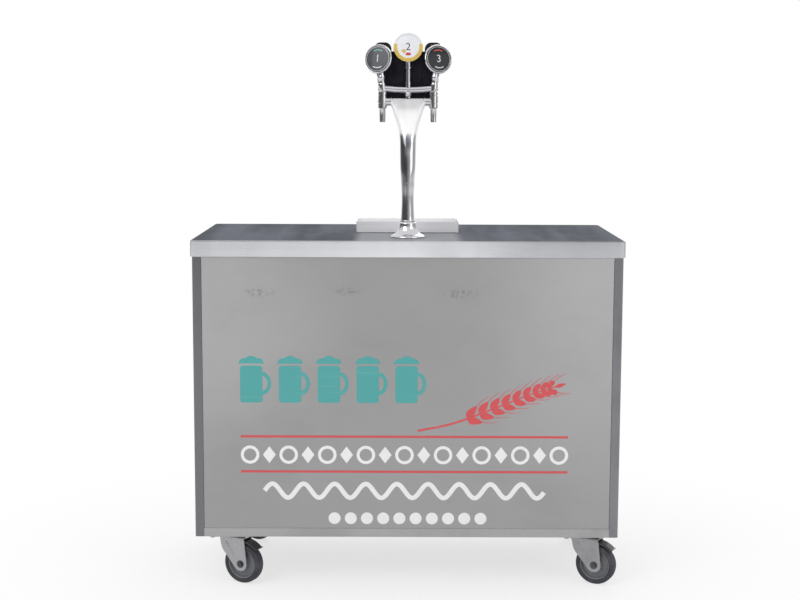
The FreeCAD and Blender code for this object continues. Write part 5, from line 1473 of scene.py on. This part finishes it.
class BAR_OT_stage(bpy.types.Operator):
    """Lay the pale floor, hang the lamps and set the camera"""
    bl_idname = "bar.stage"
    bl_label = "Stage"

    def execute(self, context):
        self.floor()
        self.world()
        self.lamps()
        self.camera()
        context.scene.view_settings.view_transform = "Standard"
        return {"FINISHED"}

    def floor(self):
        """A pale floor that shows white, with the object's shadow left near it."""
        bm = bmesh.new()
        bmesh.ops.create_grid(bm, x_segments=1, y_segments=1, size=14)
        mesh = bpy.data.meshes.new("floor")
        bm.to_mesh(mesh)
        bm.free()
        paint = Paint("pale_floor")
        hue = paint.mix(paint.noise(40, 3, 0.5) * 0.3, (0.92, 0.92, 0.92), (0.88, 0.88, 0.88))
        matt = paint.add("ShaderNodeBsdfPrincipled", {}, {"Base Color": hue, "Roughness": 0.9,
                                                          "Specular IOR Level": 0.1})
        white = paint.add("ShaderNodeEmission", {}, {"Color": (1, 1, 1, 1), "Strength": 1.0})
        near = paint.spot((0, 0, 0), (1.7, 1.5, 1))
        mesh.materials.append(paint.close(paint.add("ShaderNodeMixShader", {}, {
            0: paint.sees() * (1 - near * 0.34), 1: matt, 2: white})))
        placed("pale_floor", mesh)

    def world(self):
        """White behind the object and overhead, with a dimmer room in front of it for mirrors, and even light."""
        paint = Paint("studio", bpy.data.worlds, "Generated")
        across, deep, up = (paint.axis(index) for index in range(3))
        room = paint.add("ShaderNodeValToRGB", {"stops": [
            (0.0, 0.16), (0.12, 0.10), (0.36, 0.09), (0.45, 0.20), (0.55, 0.22), (0.62, 0.42), (0.80, 0.46),
            (0.92, 0.30), (1.0, 0.5)]}, {"Fac": across * 0.5 + 0.5})
        room = paint.mix(paint.step(up, 0.10, 0.42), room, (1, 1, 1))
        room = paint.mix(paint.step(deep, 0.3, 0.75), room, (1, 1, 1))
        mirror = paint.add("ShaderNodeLightPath", {}, {}, "Is Glossy Ray")
        light = paint.mix(paint.sees(), (0.72, 0.72, 0.73), paint.mix(mirror, (1, 1, 1), room))
        bpy.context.scene.world = paint.close(paint.add("ShaderNodeBackground", {}, {"Color": light}),
                                              "ShaderNodeOutputWorld")

    def lamps(self):
        """A large soft key from the upper left, a weaker fill from the right and one from behind."""
        aim = Vector((0, 0, 0.8))
        for name, spot, size, power in (("key", (-2.6, -3.6, 3.6), 2.6, 70), ("fill", (3.4, -3.2, 2.2), 2.4, 26),
                                        ("back", (0.6, 3.4, 3.0), 2.4, 45)):
            lamp = bpy.data.lights.new(name, "AREA")
            lamp.energy, lamp.size = power, size
            made = placed(name, lamp)
            made.location = spot
            made.rotation_mode = "QUATERNION"
            made.rotation_quaternion = (Vector(spot) - aim).to_track_quat("Z", "Y")

    def camera(self):
        """The photograph's view: a long lens, a little above the counter, level but for a trace of roll."""
        data = bpy.data.cameras.new("camera")
        data.lens, data.sensor_width = 68.94, 36
        spot, dip, roll = (-21, -4493, 1352), 7.27, 0.20
        made = placed("camera", data)
        made.matrix_world = at(*spot) @ turned(90 - dip, "X") @ turned(roll, "Z")
        bpy.context.scene.camera = made


class BAR_PT_panel(bpy.types.Panel):
    """The bar's sizes, colours and build steps"""
    bl_idname = "BAR_PT_panel"
    bl_label = "Draught bar"
    bl_space_type = "VIEW_3D"
    bl_region_type = "UI"
    bl_category = "Draught bar"

    def draw(self, context):
        for group, kind in ((sizes(), BarSizes), (colours(), BarColours)):
            for name in kind.__annotations__:
                self.layout.prop(group, name)
        for step in STEPS:
            self.layout.operator(step.bl_idname)


STEPS = (BAR_OT_counter, BAR_OT_cabinet, BAR_OT_film, BAR_OT_castors, BAR_OT_tower, BAR_OT_medallions, BAR_OT_taps,
         BAR_OT_tray, BAR_OT_cooling, BAR_OT_stage)
CLASSES = (BarSizes, BarColours, *STEPS, BAR_PT_panel)


def register():
    for kind in CLASSES:
        bpy.utils.register_class(kind)
    bpy.types.Scene.bar_sizes = bpy.props.PointerProperty(type=BarSizes)
    bpy.types.Scene.bar_colours = bpy.props.PointerProperty(type=BarColours)


def unregister():
    del bpy.types.Scene.bar_colours
    del bpy.types.Scene.bar_sizes
    for kind in reversed(CLASSES):
        bpy.utils.unregister_class(kind)


def main():
    """Build every piece in order."""
    register()
    mix_finishes()
    for step in STEPS:
        group, name = step.bl_idname.split(".")
        getattr(getattr(bpy.ops, group), name)()


if __name__ == "__main__":
    main()
